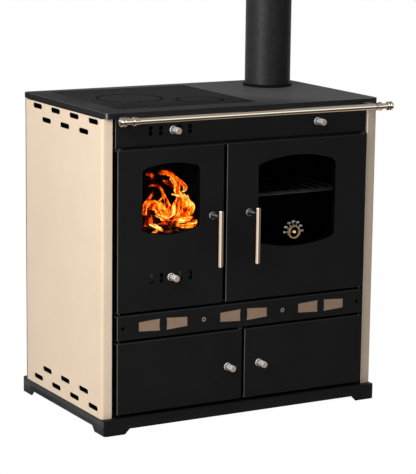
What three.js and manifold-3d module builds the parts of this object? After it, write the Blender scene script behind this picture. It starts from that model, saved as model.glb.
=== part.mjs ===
// A wood-burning cookstove: firebox on the left, oven on the right, hob on top, wood store below.
// Millimetres. X runs to the right, Y to the back and Z up. The floor is Z = 0, X = 0 is the middle of
// the stove, and until the last lines Y = 0 is the front face of the side panels' flanges.

import * as THREE from "three";
import { mergeVertices } from "three/addons/utils/BufferGeometryUtils.js";
import Module from "manifold-3d";

const wasm = await Module();
wasm.setup();

// Clearances
const fit = 0.3;
const slide = 0.6;
const doorGap = 7;
const doorSideGap = 9;

// Heights, from the floor up
const plinthHeight = 42;
const lowerDoorLift = 8;
const lowerDoorHeight = 193;
const midStripHeight = 66;
const upperDoorHeight = 428;
const fasciaBand = 83;
const topThickness = 16;

// Casing
const bodyWidth = 842;
const bodyDepth = 475;
const panelSheet = 2;
const panelCorner = 8;
const frontFlange = 31;
const rearFlange = 26;
const frameSetback = 11;
const frameSheet = 4;
const fasciaOverlap = 2;

// Plinth
const plinthOverhang = 1;
const plinthToe = 20;
const plinthHeel = 25;
const plinthSheet = 3;
const plinthLedge = 70;
const footWidth = 60;
const footSlope = 14;
const notchHeight = 14;

// Side panel slots
const slotLength = 56;
const slotHeight = 14;
const slotPitch = 114;
const slotShift = 15.5;
const upperSlotDrop = 11;
const lowerSlotRise = 23;
const slotRowPitch = 32.5;

// Back panel slots
const backSlotLength = 90;
const backSlotPitch = 130;
const backSlotCount = 5;
const backSlotDrop = 60;
const backSlotRise = 60;

// Doors
const doorProud = 10;
const doorDepth = 18;
const doorSheet = 2;
const doorEdge = 2.4;
const doorCorner = 4;
const fireDoorWidth = 315;
const upperDoorGap = 9;
const lowerDoorGap = 8;
const hingeInset = 7;
const hingeSetback = 6;
const hingeRodRadius = 2.5;
const lugSheet = 3;
const lugReach = 15;
const lugSetback = 1.5;

// Windows
const fireWindow = { margin: 72.5, bottom: 212, top: 40, rise: 13, drop: 13 };
const ovenWindow = { margin: 97, bottom: 154, top: 42.5, rise: 20, drop: 18 };
const glassThickness = 4;
const glassLap = 13;
const glassCorner = 3;
const windowCorner = 8;
const windowCornerRise = 2;

// Door inner frames and gaskets
const innerFramePlate = 8;
const innerFrameRim = 11;
const gasketWidth = 8;
const gasketMargin = 6;

// Openings in the front frame
const fireOpening = { left: 29, right: 22, bottom: 157, top: 29 };
const ovenOpening = { left: 55, right: 31, bottom: 27, top: 29 };
const ashOpening = { left: 41, right: 34, bottom: 13, drop: 28 };
const storeMargin = 16;
const storeSill = 16;
const storeLintel = 15;

// Lever handles
const leverHeight = 239;
const fireLeverInset = 35;
const ovenLeverInset = 69;
const gripReach = 46;
const gripRadius = 8;
const gripLength = 152;
const gripAbove = 21;
const spindleRadius = 6;
const spindleCollarRadius = 9.5;
const spindleCollar = 8;
const tongueLength = 30;
const tongueWidth = 12;
const tongueSheet = 6;

// Knobs
const knobLength = 34;
const knobRadius = 9;
const knobHead = 24;
const knobNeckRadius = 6.5;
const rosetteRadius = 10.5;
const rosetteHeight = 4;
const knobStemRadius = 3;
const knobNutRadius = 5.5;
const knobNut = 3;
const lowerKnobInset = 45;
const lowerKnobHeight = 95;

// Air shutters
const airSlotWidth = 10.5;
const airSlotHeight = 11.5;
const airSlotBridge = 2;
const airSlotOffsets = [-58, -28, 28, 58];
const airTravel = 8;
const shutterSheet = 1.5;
const shutterWidth = 148;
const shutterHeight = 34;
const doorAirHeight = 85.5;
const fasciaAirDrop = 38;

// Smoke damper
const damperFromFlue = 56;
const damperDrop = 40;
const damperRodRadius = 4;
const damperDiscRadius = 38;
const damperDisc = 3;
const bypassRadius = 32;

// Mid strip pattern
const inlayMargin = 63.5;
const inlaySplit = 19;
const inlayLength = 63;
const inlayTall = 32.5;
const inlayShort = 25;
const inlayBow = 1.6;
const inlaySink = 0.4;
const inlayBacking = 2;
const inlayBackingInset = 41;
const inlayBackingRim = 5;
const studRadius = 6.5;
const screwHoleRadius = 5.5;
const screwHoleInset = 17;

// Top plate and hob
const topInset = 6;
const topOverhangFront = 12;
const topOverhangBack = 23;
const topCorner = 10;
const topEdge = 1.5;
const hobMargin = 65;
const hobFront = 48;
const hobBackMargin = 17;
const hobLedge = 8;
const hobLedgeDepth = 8;
const hobPlateThickness = 7;
const discStep = 6;
const discLip = 4;
const largeDisc = { left: 50.5, right: 6.5, back: 208, radius: 87.5 };
const smallDisc = { left: 6, right: 53, back: 108, radius: 62 };
const discSides = 36;
const pocketLength = 22;
const pocketWidth = 9;
const pocketDepth = 2.5;
const pocketInset = 16;

// Flue
const flueFromSide = 137;
const flueFromBack = 116;
const flueRadius = 65;
const flueSheet = 1.5;
const flueLength = 492;
const collarRadius = 70;
const collarHeight = 8;
const spigotHeight = 30;
const spigotWall = 3;
const spigotDrop = 12;
const flueHoleRadius = 67;
const flueSides = 32;

// Rail
const railForward = 84;
const railDrop = 14;
const railRadius = 8;
const railSheet = 1.2;
const railEndInset = 29;
const finialLength = 21;
const finialRadius = 12;
const bracketInset = 21;
const bracketWidth = 22;
const bracketArm = 8;
const bracketPad = 11.5;
const railSides = 20;

// Inner casing and hearth
const casingGap = 19;
const casingBackGap = 25;
const casingSheet = 2;
const casingFloor = 3;
const hearthRise = 9;
const hearthSheet = 3;

// Firebox
const fireboxLeftMargin = 6;
const fireboxRightMargin = 26;
const fireboxBackGap = 31;
const fireboxWall = 4;
const smokeGapHeight = 89;
const grateShelfDrop = 13;
const grateHoleMargin = 13;
const brickThickness = 30;
const brickFront = 36;
const brickTopDrop = 22;
const brickChamfer = 12;
const grateThickness = 12;
const grateSlotWidth = 12;
const grateSlotPitch = 26;
const grateSlotMargin = 26;
const grateSlotCount = 8;
const ashPanMargin = 5;
const ashPanDrop = 16;
const ashPanBackGap = 49;
const ashPanSheet = 2;
const ashGripLength = 64;
const ashGripHeight = 18;
const ashGripDrop = 26;

// Oven
const ovenMargin = 24;
const ovenSheet = 3;
const ovenBackGap = 34;
const ovenFootWidth = 40;
const ovenFootInset = 60;
const runnerHeights = [80, 160, 240];
const runnerWidth = 34;
const runnerSheet = 3;
const runnerFront = 38;
const runnerBackGap = 14;
const rackFrameRadius = 3;
const rackWireRadius = 2;
const rackWireCount = 9;
const rackFront = 44;
const rackBackGap = 22;
const rackCrossWire = 12;

// Flue chamber
const chamberLeftReach = 94;
const chamberRightReach = 76;
const chamberFrontReach = 75;
const chamberSheet = 3;

// Thermometer
const thermometerShift = -10;
const thermometerHeight = 175;
const thermometerRadius = 18;
const thermometerWall = 3.5;
const thermometerDepth = 10;
const thermometerFloor = 2;
const pointerHub = 4;
const pointerLength = 12;
const pointerWidth = 1.6;

// Magnetic catch of the lower doors
const catchHalfWidth = 24;
const catchHeight = 8;

// Levels and planes worked out from the sizes above
const lowerDoorBottom = plinthHeight + lowerDoorLift;
const lowerDoorTop = lowerDoorBottom + lowerDoorHeight;
const stripBottom = lowerDoorTop + doorGap;
const stripTop = stripBottom + midStripHeight;
const upperDoorBottom = stripTop + doorGap;
const upperDoorTop = upperDoorBottom + upperDoorHeight;
const topBottom = upperDoorTop + fasciaBand;
const topTop = topBottom + topThickness;
const halfBody = bodyWidth / 2;
const flangeEdge = halfBody - frontFlange;
const doorEdgeX = flangeEdge - doorSideGap;
const fireDoorRight = -doorEdgeX + fireDoorWidth;
const ovenDoorLeft = fireDoorRight + upperDoorGap;
const fireDoorCentre = (fireDoorRight - doorEdgeX) / 2;
const ovenDoorCentre = (ovenDoorLeft + doorEdgeX) / 2;
const doorFront = -doorProud;
const doorBack = doorFront + doorDepth;
const skinBack = doorFront + doorSheet;
const frameFront = frameSetback;
const frameBack = frameFront + frameSheet;
const hingeX = doorEdgeX - hingeInset;
const hingeY = doorFront + hingeSetback;
const glassFront = skinBack + fit;
const innerPlateFront = glassFront + glassThickness + fit;
const innerPlateBack = innerPlateFront + innerFramePlate;
const gasketFront = innerPlateBack + fit;
const gasketBack = frameFront - fit;
const leverZ = upperDoorBottom + leverHeight;
const fireLeverX = fireDoorRight - fireLeverInset;
const ovenLeverX = ovenDoorLeft + ovenLeverInset;
const gripY = doorFront - gripReach;
const fasciaAirZ = topBottom - fasciaAirDrop;
const doorAirZ = upperDoorBottom + doorAirHeight;
const damperZ = topBottom - damperDrop;
const railZ = topTop - railDrop;
const railHalfLength = halfBody - railEndInset;
const bracketX = railHalfLength - bracketInset;
const backFace = bodyDepth + panelSheet;
const flueX = halfBody - flueFromSide;
const flueY = bodyDepth - flueFromBack;
const damperX = flueX - damperFromFlue;
const hobLeft = -halfBody + topInset + hobMargin;
const hobSeam = hobLeft + largeDisc.left + 2 * largeDisc.radius + largeDisc.right;
const hobRight = hobSeam + smallDisc.left + 2 * smallDisc.radius + smallDisc.right;
const hobBack = bodyDepth - hobBackMargin;
const casingHalfWidth = halfBody - casingGap;
const casingBack = bodyDepth - casingBackGap;
const hearthHeight = upperDoorBottom + hearthRise;

// An opening of the front frame, inset from the edges of the door that closes it.
function frameOpening(inset, left, right, top) {
  return {
    x0: left + inset.left,
    x1: right - inset.right,
    z0: upperDoorBottom + inset.bottom,
    z1: top,
  };
}

const fireHole = frameOpening(
  fireOpening,
  -doorEdgeX,
  fireDoorRight,
  upperDoorTop - fireOpening.top,
);
const ovenHole = frameOpening(
  ovenOpening,
  ovenDoorLeft,
  doorEdgeX,
  upperDoorTop - ovenOpening.top,
);
const ashHole = frameOpening(
  ashOpening,
  -doorEdgeX,
  fireDoorRight,
  fireHole.z0 - ashOpening.drop,
);
const storeHole = {
  x0: -doorEdgeX + storeMargin,
  x1: doorEdgeX - storeMargin,
  z0: plinthHeight + storeSill,
  z1: stripBottom - storeLintel,
};

// Places that follow from the openings
const fireboxLeft = fireHole.x0 - fireboxLeftMargin;
const fireboxRight = fireHole.x1 + fireboxRightMargin;
const fireboxBack = casingBack - fireboxBackGap;
const grateShelfHeight = fireHole.z0 - grateShelfDrop;
const brickTop = fireHole.z1 - brickTopDrop;
const ashPanBack = fireboxBack - ashPanBackGap;
const ovenFloorZ = ovenHole.z0;
const ovenCeilingZ = ovenHole.z1;
const ovenTopZ = ovenCeilingZ + ovenSheet;
const ovenBack = casingBack - ovenBackGap;
const runnerBack = ovenBack - runnerBackGap;
const rackBack = ovenBack - rackBackGap;
const chamberLeft = flueX - chamberLeftReach;
const chamberRight = flueX + chamberRightReach;
const chamberFront = flueY - chamberFrontReach;

// Finishes
function finish(color, roughness, metalness) {
  return new THREE.MeshStandardMaterial({ color, roughness, metalness });
}

const creamPaint = finish(0xe8d3b9, 0.45, 0.0);
const tanPaint = finish(0xa08a78, 0.5, 0.1);
const blackPaint = finish(0x1c1c1d, 0.5, 0.1);
const darkSheet = finish(0x2b2b2c, 0.6, 0.4);
const castIron = finish(0x35363a, 0.7, 0.5);
const chrome = finish(0xd9d2c8, 0.15, 1.0);
const copperTube = finish(0xe0b79a, 0.2, 1.0);
const glassBlack = finish(0x0a0a0b, 0.05, 0.0);
const fireclay = finish(0xc9a98a, 0.9, 0.0);
const rope = finish(0x8d8a84, 0.95, 0.0);
const innerSheet = finish(0x55565a, 0.5, 0.7);

const stove = new THREE.Group();

// A closed geometry as a solid that can be joined and cut.
function solidOf(geometry) {
  const bare = geometry.clone();
  bare.deleteAttribute("normal");
  bare.deleteAttribute("uv");
  const merged = mergeVertices(bare, 1e-4);
  const corners = merged.index.array;
  const kept = [];
  for (let i = 0; i < corners.length; i += 3) {
    const [a, b, c] = corners.slice(i, i + 3);
    if (a !== b && b !== c && c !== a) kept.push(a, b, c);
  }
  return new wasm.Manifold(
    new wasm.Mesh({
      numProp: 3,
      vertProperties: new Float32Array(merged.attributes.position.array),
      triVerts: new Uint32Array(kept),
    }),
  );
}

// A solid's surface as a geometry.
function geometryOf(solid) {
  const mesh = solid.getMesh();
  const geometry = new THREE.BufferGeometry();
  geometry.setAttribute("position", new THREE.BufferAttribute(mesh.vertProperties, 3));
  geometry.setIndex(new THREE.BufferAttribute(mesh.triVerts, 1));
  geometry.computeVertexNormals();
  return geometry;
}

// Adds one named piece. Solids are turned into geometry; a geometry is used as it is.
function piece(name, shape, material, position = [0, 0, 0]) {
  const geometry = shape.isBufferGeometry ? shape : geometryOf(shape);
  const mesh = new THREE.Mesh(geometry, material);
  mesh.name = name;
  mesh.position.set(...position);
  stove.add(mesh);
  return mesh;
}

const axisX = new THREE.Vector3(1, 0, 0);
const axisY = new THREE.Vector3(0, 1, 0);
const axisZ = new THREE.Vector3(0, 0, 1);
const facingFront = new THREE.Matrix4().makeBasis(axisX, axisZ, axisY.clone().negate());
const facingRight = new THREE.Matrix4().makeBasis(axisY, axisZ, axisX);

// A box between two corners.
function boxShape(x0, x1, y0, y1, z0, z1) {
  return new THREE.BoxGeometry(x1 - x0, y1 - y0, z1 - z0).translate(
    (x0 + x1) / 2,
    (y0 + y1) / 2,
    (z0 + z1) / 2,
  );
}

function box(...corners) {
  return solidOf(boxShape(...corners));
}

// A rectangle, with round corners where a radius is given.
function rectangle(u0, u1, v0, v1, radius = 0, outline = new THREE.Shape()) {
  if (radius === 0) {
    outline.moveTo(u0, v0).lineTo(u1, v0).lineTo(u1, v1).lineTo(u0, v1).closePath();
    return outline;
  }
  outline.moveTo(u0 + radius, v0);
  outline.absarc(u1 - radius, v0 + radius, radius, -Math.PI / 2, 0, false);
  outline.absarc(u1 - radius, v1 - radius, radius, 0, Math.PI / 2, false);
  outline.absarc(u0 + radius, v1 - radius, radius, Math.PI / 2, Math.PI, false);
  outline.absarc(u0 + radius, v0 + radius, radius, Math.PI, 1.5 * Math.PI, false);
  return outline;
}

// A slot with round ends, along u.
function slotOutline(centreU, centreV, length, height) {
  const radius = height / 2;
  const reach = length / 2 - radius;
  const outline = new THREE.Shape();
  outline.absarc(centreU + reach, centreV, radius, -Math.PI / 2, Math.PI / 2, false);
  outline.absarc(centreU - reach, centreV, radius, Math.PI / 2, 1.5 * Math.PI, false);
  return outline;
}

// A closed polygon from its corners.
function polygon(points) {
  return new THREE.Shape(points.map(([u, v]) => new THREE.Vector2(u, v)));
}

// An outline in X and Z, as a slab from one Y to another.
function slabY(outline, y0, y1, segments = 3) {
  const options = { depth: y1 - y0, bevelEnabled: false, curveSegments: segments };
  const geometry = new THREE.ExtrudeGeometry(outline, options);
  return solidOf(geometry.applyMatrix4(facingFront).translate(0, y1, 0));
}

// An outline in X and Y, as a slab from one Z to another.
function slabZ(outline, z0, z1, segments = 3) {
  const options = { depth: z1 - z0, bevelEnabled: false, curveSegments: segments };
  const geometry = new THREE.ExtrudeGeometry(outline, options);
  return solidOf(geometry.translate(0, 0, z0));
}

// An outline in Y and Z, as a slab from one X to another.
function slabX(outline, x0, x1, segments = 3) {
  const options = { depth: x1 - x0, bevelEnabled: false, curveSegments: segments };
  const geometry = new THREE.ExtrudeGeometry(outline, options);
  return solidOf(geometry.applyMatrix4(facingRight).translate(x0, 0, 0));
}

// Round bars along each axis.
function barZ(x, y, z0, z1, radius, segments = 12) {
  const geometry = new THREE.CylinderGeometry(radius, radius, z1 - z0, segments);
  return solidOf(geometry.rotateX(Math.PI / 2).translate(x, y, (z0 + z1) / 2));
}

function barY(x, z, y0, y1, radius, segments = 12) {
  const geometry = new THREE.CylinderGeometry(radius, radius, y1 - y0, segments);
  return solidOf(geometry.translate(x, (y0 + y1) / 2, z));
}

function barX(y, z, x0, x1, radius, segments = 12) {
  const geometry = new THREE.CylinderGeometry(radius, radius, x1 - x0, segments);
  return solidOf(geometry.rotateZ(Math.PI / 2).translate((x0 + x1) / 2, y, z));
}

// A turned piece about its own Y axis, from [radius, distance] pairs in rising distance.
function turned(profile, segments = 16) {
  return new THREE.LatheGeometry(
    profile.map(([radius, along]) => new THREE.Vector2(radius, along)),
    segments,
  );
}

function union(solids) {
  return solids.reduce((whole, next) => whole.add(next));
}

// A folded sheet pan: a front skin with rounded front edges, and four walls that run back.
function foldedPan(x0, x1, z0, z1, y0, y1) {
  const tail = doorEdge;
  const bevel = {
    depth: y1 + tail - y0 - 2 * doorEdge,
    bevelEnabled: true,
    bevelThickness: doorEdge,
    bevelSize: doorEdge,
    bevelOffset: -doorEdge,
    bevelSegments: 2,
    curveSegments: 2,
  };
  const block = new THREE.ExtrudeGeometry(rectangle(x0, x1, z0, z1, doorCorner), bevel);
  block.applyMatrix4(facingFront).translate(0, y1 + tail - doorEdge, 0);
  const hollow = box(
    x0 + doorSheet,
    x1 - doorSheet,
    y0 + doorSheet,
    y1 + tail + 1,
    z0 + doorSheet,
    z1 - doorSheet,
  );
  const trim = box(x0 - 1, x1 + 1, y1, y1 + tail + 1, z0 - 1, z1 + 1);
  return solidOf(block).subtract(hollow).subtract(trim);
}

// A window outline: straight sides, a shallow arch above and a shallow bow below.
function windowOutline(door, window, grow = 0) {
  const centreX = (door.x0 + door.x1) / 2;
  const half = (door.x1 - door.x0) / 2 - window.margin + grow;
  const low = upperDoorBottom + window.bottom;
  const high = upperDoorTop - window.top - window.rise;
  const outline = new THREE.Shape();
  outline.moveTo(centreX - half, low + windowCorner);
  outline.lineTo(centreX - half, high - windowCorner);
  const shoulder = high + windowCornerRise;
  const foot = low - windowCornerRise;
  outline.quadraticCurveTo(centreX - half, high, centreX - half + windowCorner, shoulder);
  outline.quadraticCurveTo(
    centreX,
    high + 2 * (window.rise + grow) - windowCornerRise,
    centreX + half - windowCorner,
    shoulder,
  );
  outline.quadraticCurveTo(centreX + half, high, centreX + half, high - windowCorner);
  outline.lineTo(centreX + half, low + windowCorner);
  outline.quadraticCurveTo(centreX + half, low, centreX + half - windowCorner, foot);
  outline.quadraticCurveTo(
    centreX,
    low - 2 * (window.drop + grow) + windowCornerRise,
    centreX - half + windowCorner,
    foot,
  );
  outline.quadraticCurveTo(centreX - half, low, centreX - half, low + windowCorner);
  return outline;
}

// The glass pane behind a window, as the box of its outline grown by the lap.
function paneOf(door, window, grow = 0) {
  const lap = glassLap + grow;
  return {
    x0: door.x0 + window.margin - lap,
    x1: door.x1 - window.margin + lap,
    z0: upperDoorBottom + window.bottom - window.drop - lap,
    z1: upperDoorTop - window.top + lap,
  };
}

// The narrow air slots, each in two halves, shifted along X.
function airSlots(centreX, centreZ, y0, y1, shift = 0) {
  const cuts = [];
  for (const offset of airSlotOffsets) {
    const x = centreX + offset + shift;
    for (const way of [-1, 1]) {
      const near = (way * airSlotBridge) / 2;
      const far = near + way * airSlotHeight;
      const [low, high] = [Math.min(near, far), Math.max(near, far)];
      const halfWidth = airSlotWidth / 2;
      cuts.push(box(x - halfWidth, x + halfWidth, y0, y1, centreZ + low, centreZ + high));
    }
  }
  return union(cuts);
}

// The slot that a shutter knob's stem travels in, from its rest place by the travel.
function travelSlot(restX, centreZ, travel, y0, y1) {
  const reach = knobStemRadius + slide;
  const x0 = restX + Math.min(0, travel) - reach;
  const x1 = restX + Math.max(0, travel) + reach;
  return slabY(slotOutline((x0 + x1) / 2, centreZ, x1 - x0, 2 * reach), y0, y1);
}

// A sliding air shutter with slots that meet the panel's slots when it is open.
function airShutter(knobX, slotsX, centreZ, front, openShift) {
  const plate = box(
    knobX - shutterWidth / 2,
    knobX + shutterWidth / 2,
    front,
    front + shutterSheet,
    centreZ - shutterHeight / 2,
    centreZ + shutterHeight / 2,
  );
  const stemHole = barY(knobX, centreZ, front - 1, front + shutterSheet + 1, knobStemRadius + fit);
  const slots = airSlots(slotsX, centreZ, front - 1, front + shutterSheet + 1, openShift);
  return plate.subtract(slots).subtract(stemHole);
}

// A turned knob: head, neck, rosette on the sheet's face (Y = 0), stem and a nut behind the sheet.
function knobShape(sheet, nutGap) {
  const nutFront = sheet + nutGap;
  return turned([
    [0, -knobLength],
    [knobRadius - 2.5, -knobLength],
    [knobRadius - 1, -knobLength + 0.8],
    [knobRadius, -knobLength + 2.5],
    [knobRadius, -knobLength + knobHead - 3],
    [knobRadius - 1.5, -knobLength + knobHead],
    [knobNeckRadius, -knobLength + knobHead + 1.5],
    [knobNeckRadius, -rosetteHeight - fit],
    [rosetteRadius - 1.5, -rosetteHeight - fit],
    [rosetteRadius, -rosetteHeight - fit + 1.5],
    [rosetteRadius, -fit],
    [knobStemRadius, -fit],
    [knobStemRadius, nutFront],
    [knobNutRadius, nutFront],
    [knobNutRadius, nutFront + knobNut],
    [0, nutFront + knobNut],
  ]);
}

// Plinth: a folded base frame with feet at the corners.
function makePlinth() {
  const half = halfBody + plinthOverhang;
  const front = -plinthToe;
  const back = bodyDepth + plinthHeel;
  const outer = slabZ(rectangle(-half, half, front, back, panelCorner), 0, plinthHeight, 3);
  const inside = half - plinthSheet;
  const hollow = box(
    -inside,
    inside,
    front + plinthSheet,
    back - plinthSheet,
    -1,
    plinthHeight - plinthSheet,
  );
  const well = box(
    -half + plinthLedge,
    half - plinthLedge,
    front + plinthLedge,
    back - plinthLedge,
    plinthHeight - plinthSheet - 1,
    plinthHeight + 1,
  );
  const notch = (u0, u1) =>
    polygon([
      [u0 + footWidth, -1],
      [u1 - footWidth, -1],
      [u1 - footWidth, 0],
      [u1 - footWidth - footSlope, notchHeight],
      [u0 + footWidth + footSlope, notchHeight],
      [u0 + footWidth, 0],
    ]);
  const alongX = slabY(notch(-half, half), front - 1, back + 1);
  const alongY = slabX(notch(front, back), -half - 1, half + 1);
  const body = outer.subtract(hollow).subtract(well).subtract(alongX).subtract(alongY);
  piece("plinth", body, blackPaint);
}

// A side panel: one sheet with a front flange, its return and a rear flange. side is -1 or 1.
function makeSidePanel(name, side) {
  const x = (inward) => side * (halfBody - inward);
  const t = panelSheet;
  const inner = panelCorner - t;
  const steps = 4;
  const outline = [[x(0), bodyDepth], [x(rearFlange), bodyDepth], [x(rearFlange), bodyDepth - t]];
  outline.push([x(t), bodyDepth - t]);
  for (let i = 0; i <= steps; i += 1) {
    const a = (Math.PI / 2) * (i / steps);
    const along = panelCorner - inner * Math.sin(a);
    outline.push([x(panelCorner - inner * Math.cos(a)), along]);
  }
  outline.push([x(frontFlange - t), t], [x(frontFlange - t), frameFront]);
  outline.push([x(frontFlange), frameFront], [x(frontFlange), 0]);
  for (let i = 0; i <= steps; i += 1) {
    const a = (Math.PI / 2) * (1 - i / steps);
    const along = panelCorner - panelCorner * Math.sin(a);
    outline.push([x(panelCorner - panelCorner * Math.cos(a)), along]);
  }
  const sheet = slabZ(polygon(outline), plinthHeight, topBottom);
  const rows = [
    [topBottom - upperSlotDrop, 4],
    [topBottom - upperSlotDrop - slotRowPitch, 3],
    [plinthHeight + lowerSlotRise + slotRowPitch, 3],
    [plinthHeight + lowerSlotRise, 4],
  ];
  const cuts = [];
  const [x0, x1] = [x(-1), x(t + 1)].sort((a, b) => a - b);
  for (const [z, count] of rows) {
    for (let i = 0; i < count; i += 1) {
      const y = bodyDepth / 2 - slotShift + (i - (count - 1) / 2) * slotPitch;
      cuts.push(slabX(slotOutline(y, z, slotLength, slotHeight), x0, x1, 2));
    }
  }
  piece(name, sheet.subtract(union(cuts)), creamPaint);
}

// The back sheet, with a row of vents near the top and one near the foot.
function makeBackPanel() {
  const half = halfBody - panelSheet;
  const sheet = box(-half, half, bodyDepth, backFace, plinthHeight, topBottom);
  const cuts = [];
  for (const z of [topBottom - backSlotDrop, plinthHeight + backSlotRise]) {
    for (let i = 0; i < backSlotCount; i += 1) {
      const x = (i - (backSlotCount - 1) / 2) * backSlotPitch;
      const slot = slotOutline(x, z, backSlotLength, slotHeight);
      cuts.push(slabY(slot, bodyDepth - 1, backFace + 1, 2));
    }
  }
  piece("back_panel", sheet.subtract(union(cuts)), darkSheet);
}

// The inner casing: side and back walls, a floor for the wood store and the hearth shelf above it.
function makeInnerCasing() {
  const half = casingHalfWidth;
  const inside = half - casingSheet;
  const back = casingBack - casingSheet;
  const shell = box(-half, half, frameBack, casingBack, plinthHeight, topBottom);
  const store = box(
    -inside,
    inside,
    frameBack - 1,
    back,
    plinthHeight + casingFloor,
    hearthHeight - hearthSheet,
  );
  const upper = box(-inside, inside, frameBack - 1, back, hearthHeight, topBottom + 1);
  piece("inner_casing", shell.subtract(store).subtract(upper), darkSheet);
}

// A hinge lug: a small tongue of the front frame with the hole that a hinge rod turns in.
function hingeLug(side, z) {
  const [x0, x1] = [side * (doorEdgeX - lugReach), side * doorEdgeX].sort((a, b) => a - b);
  const plate = box(x0, x1, doorFront + lugSetback, frameBack, z, z + lugSheet);
  return plate.subtract(
    barZ(side * hingeX, hingeY, z - 1, z + lugSheet + 1, hingeRodRadius + fit),
  );
}

// Where the lugs stand: in the gaps over and under each pair of doors.
const lugGap = (doorGap - lugSheet) / 2;
const lugLevels = {
  upperLow: upperDoorBottom - lugGap - lugSheet,
  upperHigh: upperDoorTop + lugGap - 0.5,
  lowerLow: lowerDoorBottom - lugGap - lugSheet + 0.5,
  lowerHigh: lowerDoorTop + lugGap,
};

// The front frame: the plate that the doors close on.
function makeFrontFrame() {
  const half = halfBody - panelSheet;
  const plate = box(-half, half, frameFront, frameBack, plinthHeight, topBottom);
  const holes = [fireHole, ashHole, ovenHole, storeHole].map((hole) =>
    box(hole.x0, hole.x1, frameFront - 1, frameBack + 1, hole.z0, hole.z1),
  );
  const airHalfWidth = shutterWidth / 2;
  const airHalfHeight = shutterHeight / 2 - 3;
  holes.push(
    box(
      fireDoorCentre - airHalfWidth,
      fireDoorCentre + airHalfWidth,
      frameFront - 1,
      frameBack + 1,
      fasciaAirZ - airHalfHeight,
      fasciaAirZ + airHalfHeight,
    ),
  );
  holes.push(barY(damperX, damperZ, frameFront - 1, frameBack + 1, damperRodRadius + slide));
  const lugs = [];
  for (const level of Object.values(lugLevels)) {
    lugs.push(hingeLug(-1, level), hingeLug(1, level));
  }
  piece("front_frame", plate.subtract(union(holes)).add(union(lugs)), blackPaint);
}

// The fascia under the top plate, and the strip between the upper and the lower doors.
const fasciaBottom = lugLevels.upperHigh + lugSheet + 1.5;
const fasciaHalfWidth = doorEdgeX + fasciaOverlap;

function makeFascia() {
  const pan = foldedPan(
    -fasciaHalfWidth,
    fasciaHalfWidth,
    fasciaBottom,
    topBottom,
    0,
    frameFront,
  );
  const cuts = [
    airSlots(fireDoorCentre, fasciaAirZ, -1, doorSheet + 1),
    travelSlot(fireDoorCentre + airTravel, fasciaAirZ, -airTravel, -1, doorSheet + 1),
    barY(damperX, damperZ, -1, doorSheet + 1, damperRodRadius + slide),
  ];
  piece("fascia_panel", pan.subtract(union(cuts)), blackPaint);
}

// One tapered inlay outline. It is tall towards the pair's middle, where its edge is bowed inwards.
function inlayOutline(pairX, side, shrink) {
  const centreZ = (stripBottom + stripTop) / 2;
  const near = pairX + side * (inlaySplit / 2 + shrink);
  const far = pairX + side * (inlaySplit / 2 + inlayLength - shrink);
  const tall = inlayTall / 2 - shrink;
  const short = inlayShort / 2 - shrink;
  const outline = new THREE.Shape();
  outline.moveTo(near, centreZ - tall);
  outline.lineTo(far, centreZ - short);
  outline.lineTo(far, centreZ + short);
  outline.lineTo(near, centreZ + tall);
  outline.quadraticCurveTo(near + 2 * side * inlayBow, centreZ, near, centreZ - tall);
  return outline;
}

const inlayPitch = doorEdgeX - inlayMargin - inlayLength - inlaySplit / 2;
const inlayPairs = [-inlayPitch, 0, inlayPitch];
const studPlaces = [-inlayPitch / 2, inlayPitch / 2];

function makeMidStrip() {
  const centreZ = (stripBottom + stripTop) / 2;
  const pan = foldedPan(-doorEdgeX, doorEdgeX, stripBottom, stripTop, doorFront, frameFront);
  const cuts = [];
  const bosses = [];
  const backing = skinBack + fit;
  for (const pairX of inlayPairs) {
    for (const side of [-1, 1]) {
      cuts.push(slabY(inlayOutline(pairX, side, 0), doorFront - 1, skinBack + 1));
      bosses.push(slabY(inlayOutline(pairX, side, fit), doorFront + inlaySink, backing + 1));
    }
  }
  for (const x of studPlaces) {
    cuts.push(barY(x, centreZ, doorFront - 1, skinBack + 1, studRadius));
    bosses.push(barY(x, centreZ, doorFront + inlaySink, backing + 1, studRadius - fit));
  }
  for (const side of [-1, 1]) {
    const x = side * (doorEdgeX - screwHoleInset);
    cuts.push(barY(x, centreZ, doorFront - 1, skinBack + 1, screwHoleRadius, 12));
  }
  piece("mid_strip", pan.subtract(union(cuts)), blackPaint);
  const plate = box(
    -doorEdgeX + inlayBackingInset,
    doorEdgeX - inlayBackingInset,
    backing,
    backing + inlayBacking,
    stripBottom + inlayBackingRim,
    stripTop - inlayBackingRim,
  );
  piece("mid_strip_inlay", plate.add(union(bosses)), tanPaint);
}

// The top plate: a rounded slab with a stepped hob opening and the flue hole.
const ledgeTop = topBottom + hobLedgeDepth;

function makeTopPlate() {
  const half = halfBody - topInset;
  const bevel = {
    depth: topThickness - 2 * topEdge,
    bevelEnabled: true,
    bevelThickness: topEdge,
    bevelSize: topEdge,
    bevelOffset: -topEdge,
    bevelSegments: 2,
    curveSegments: 3,
  };
  const outline = rectangle(
    -half,
    half,
    -topOverhangFront,
    bodyDepth + topOverhangBack,
    topCorner,
  );
  const slab = solidOf(new THREE.ExtrudeGeometry(outline, bevel).translate(0, 0, topBottom + topEdge));
  const seat = box(hobLeft, hobRight, hobFront, hobBack, ledgeTop, topTop + 1);
  const through = box(
    hobLeft + hobLedge,
    hobRight - hobLedge,
    hobFront + hobLedge,
    hobBack - hobLedge,
    topBottom - 1,
    topTop + 1,
  );
  const flueHole = barZ(flueX, flueY, topBottom - 1, topTop + 1, flueHoleRadius, flueSides);
  piece("top_plate", slab.subtract(seat).subtract(through).subtract(flueHole), blackPaint);
}

// The two hob plates, each with a stepped hole for its lift-off disc.
const hobPlateTop = ledgeTop + hobPlateThickness;
const discSeat = hobPlateTop - discLip;

function discPlace(disc) {
  const plateLeft = disc === largeDisc ? hobLeft : hobSeam;
  return [plateLeft + disc.left + disc.radius, hobFront + disc.back];
}

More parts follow.
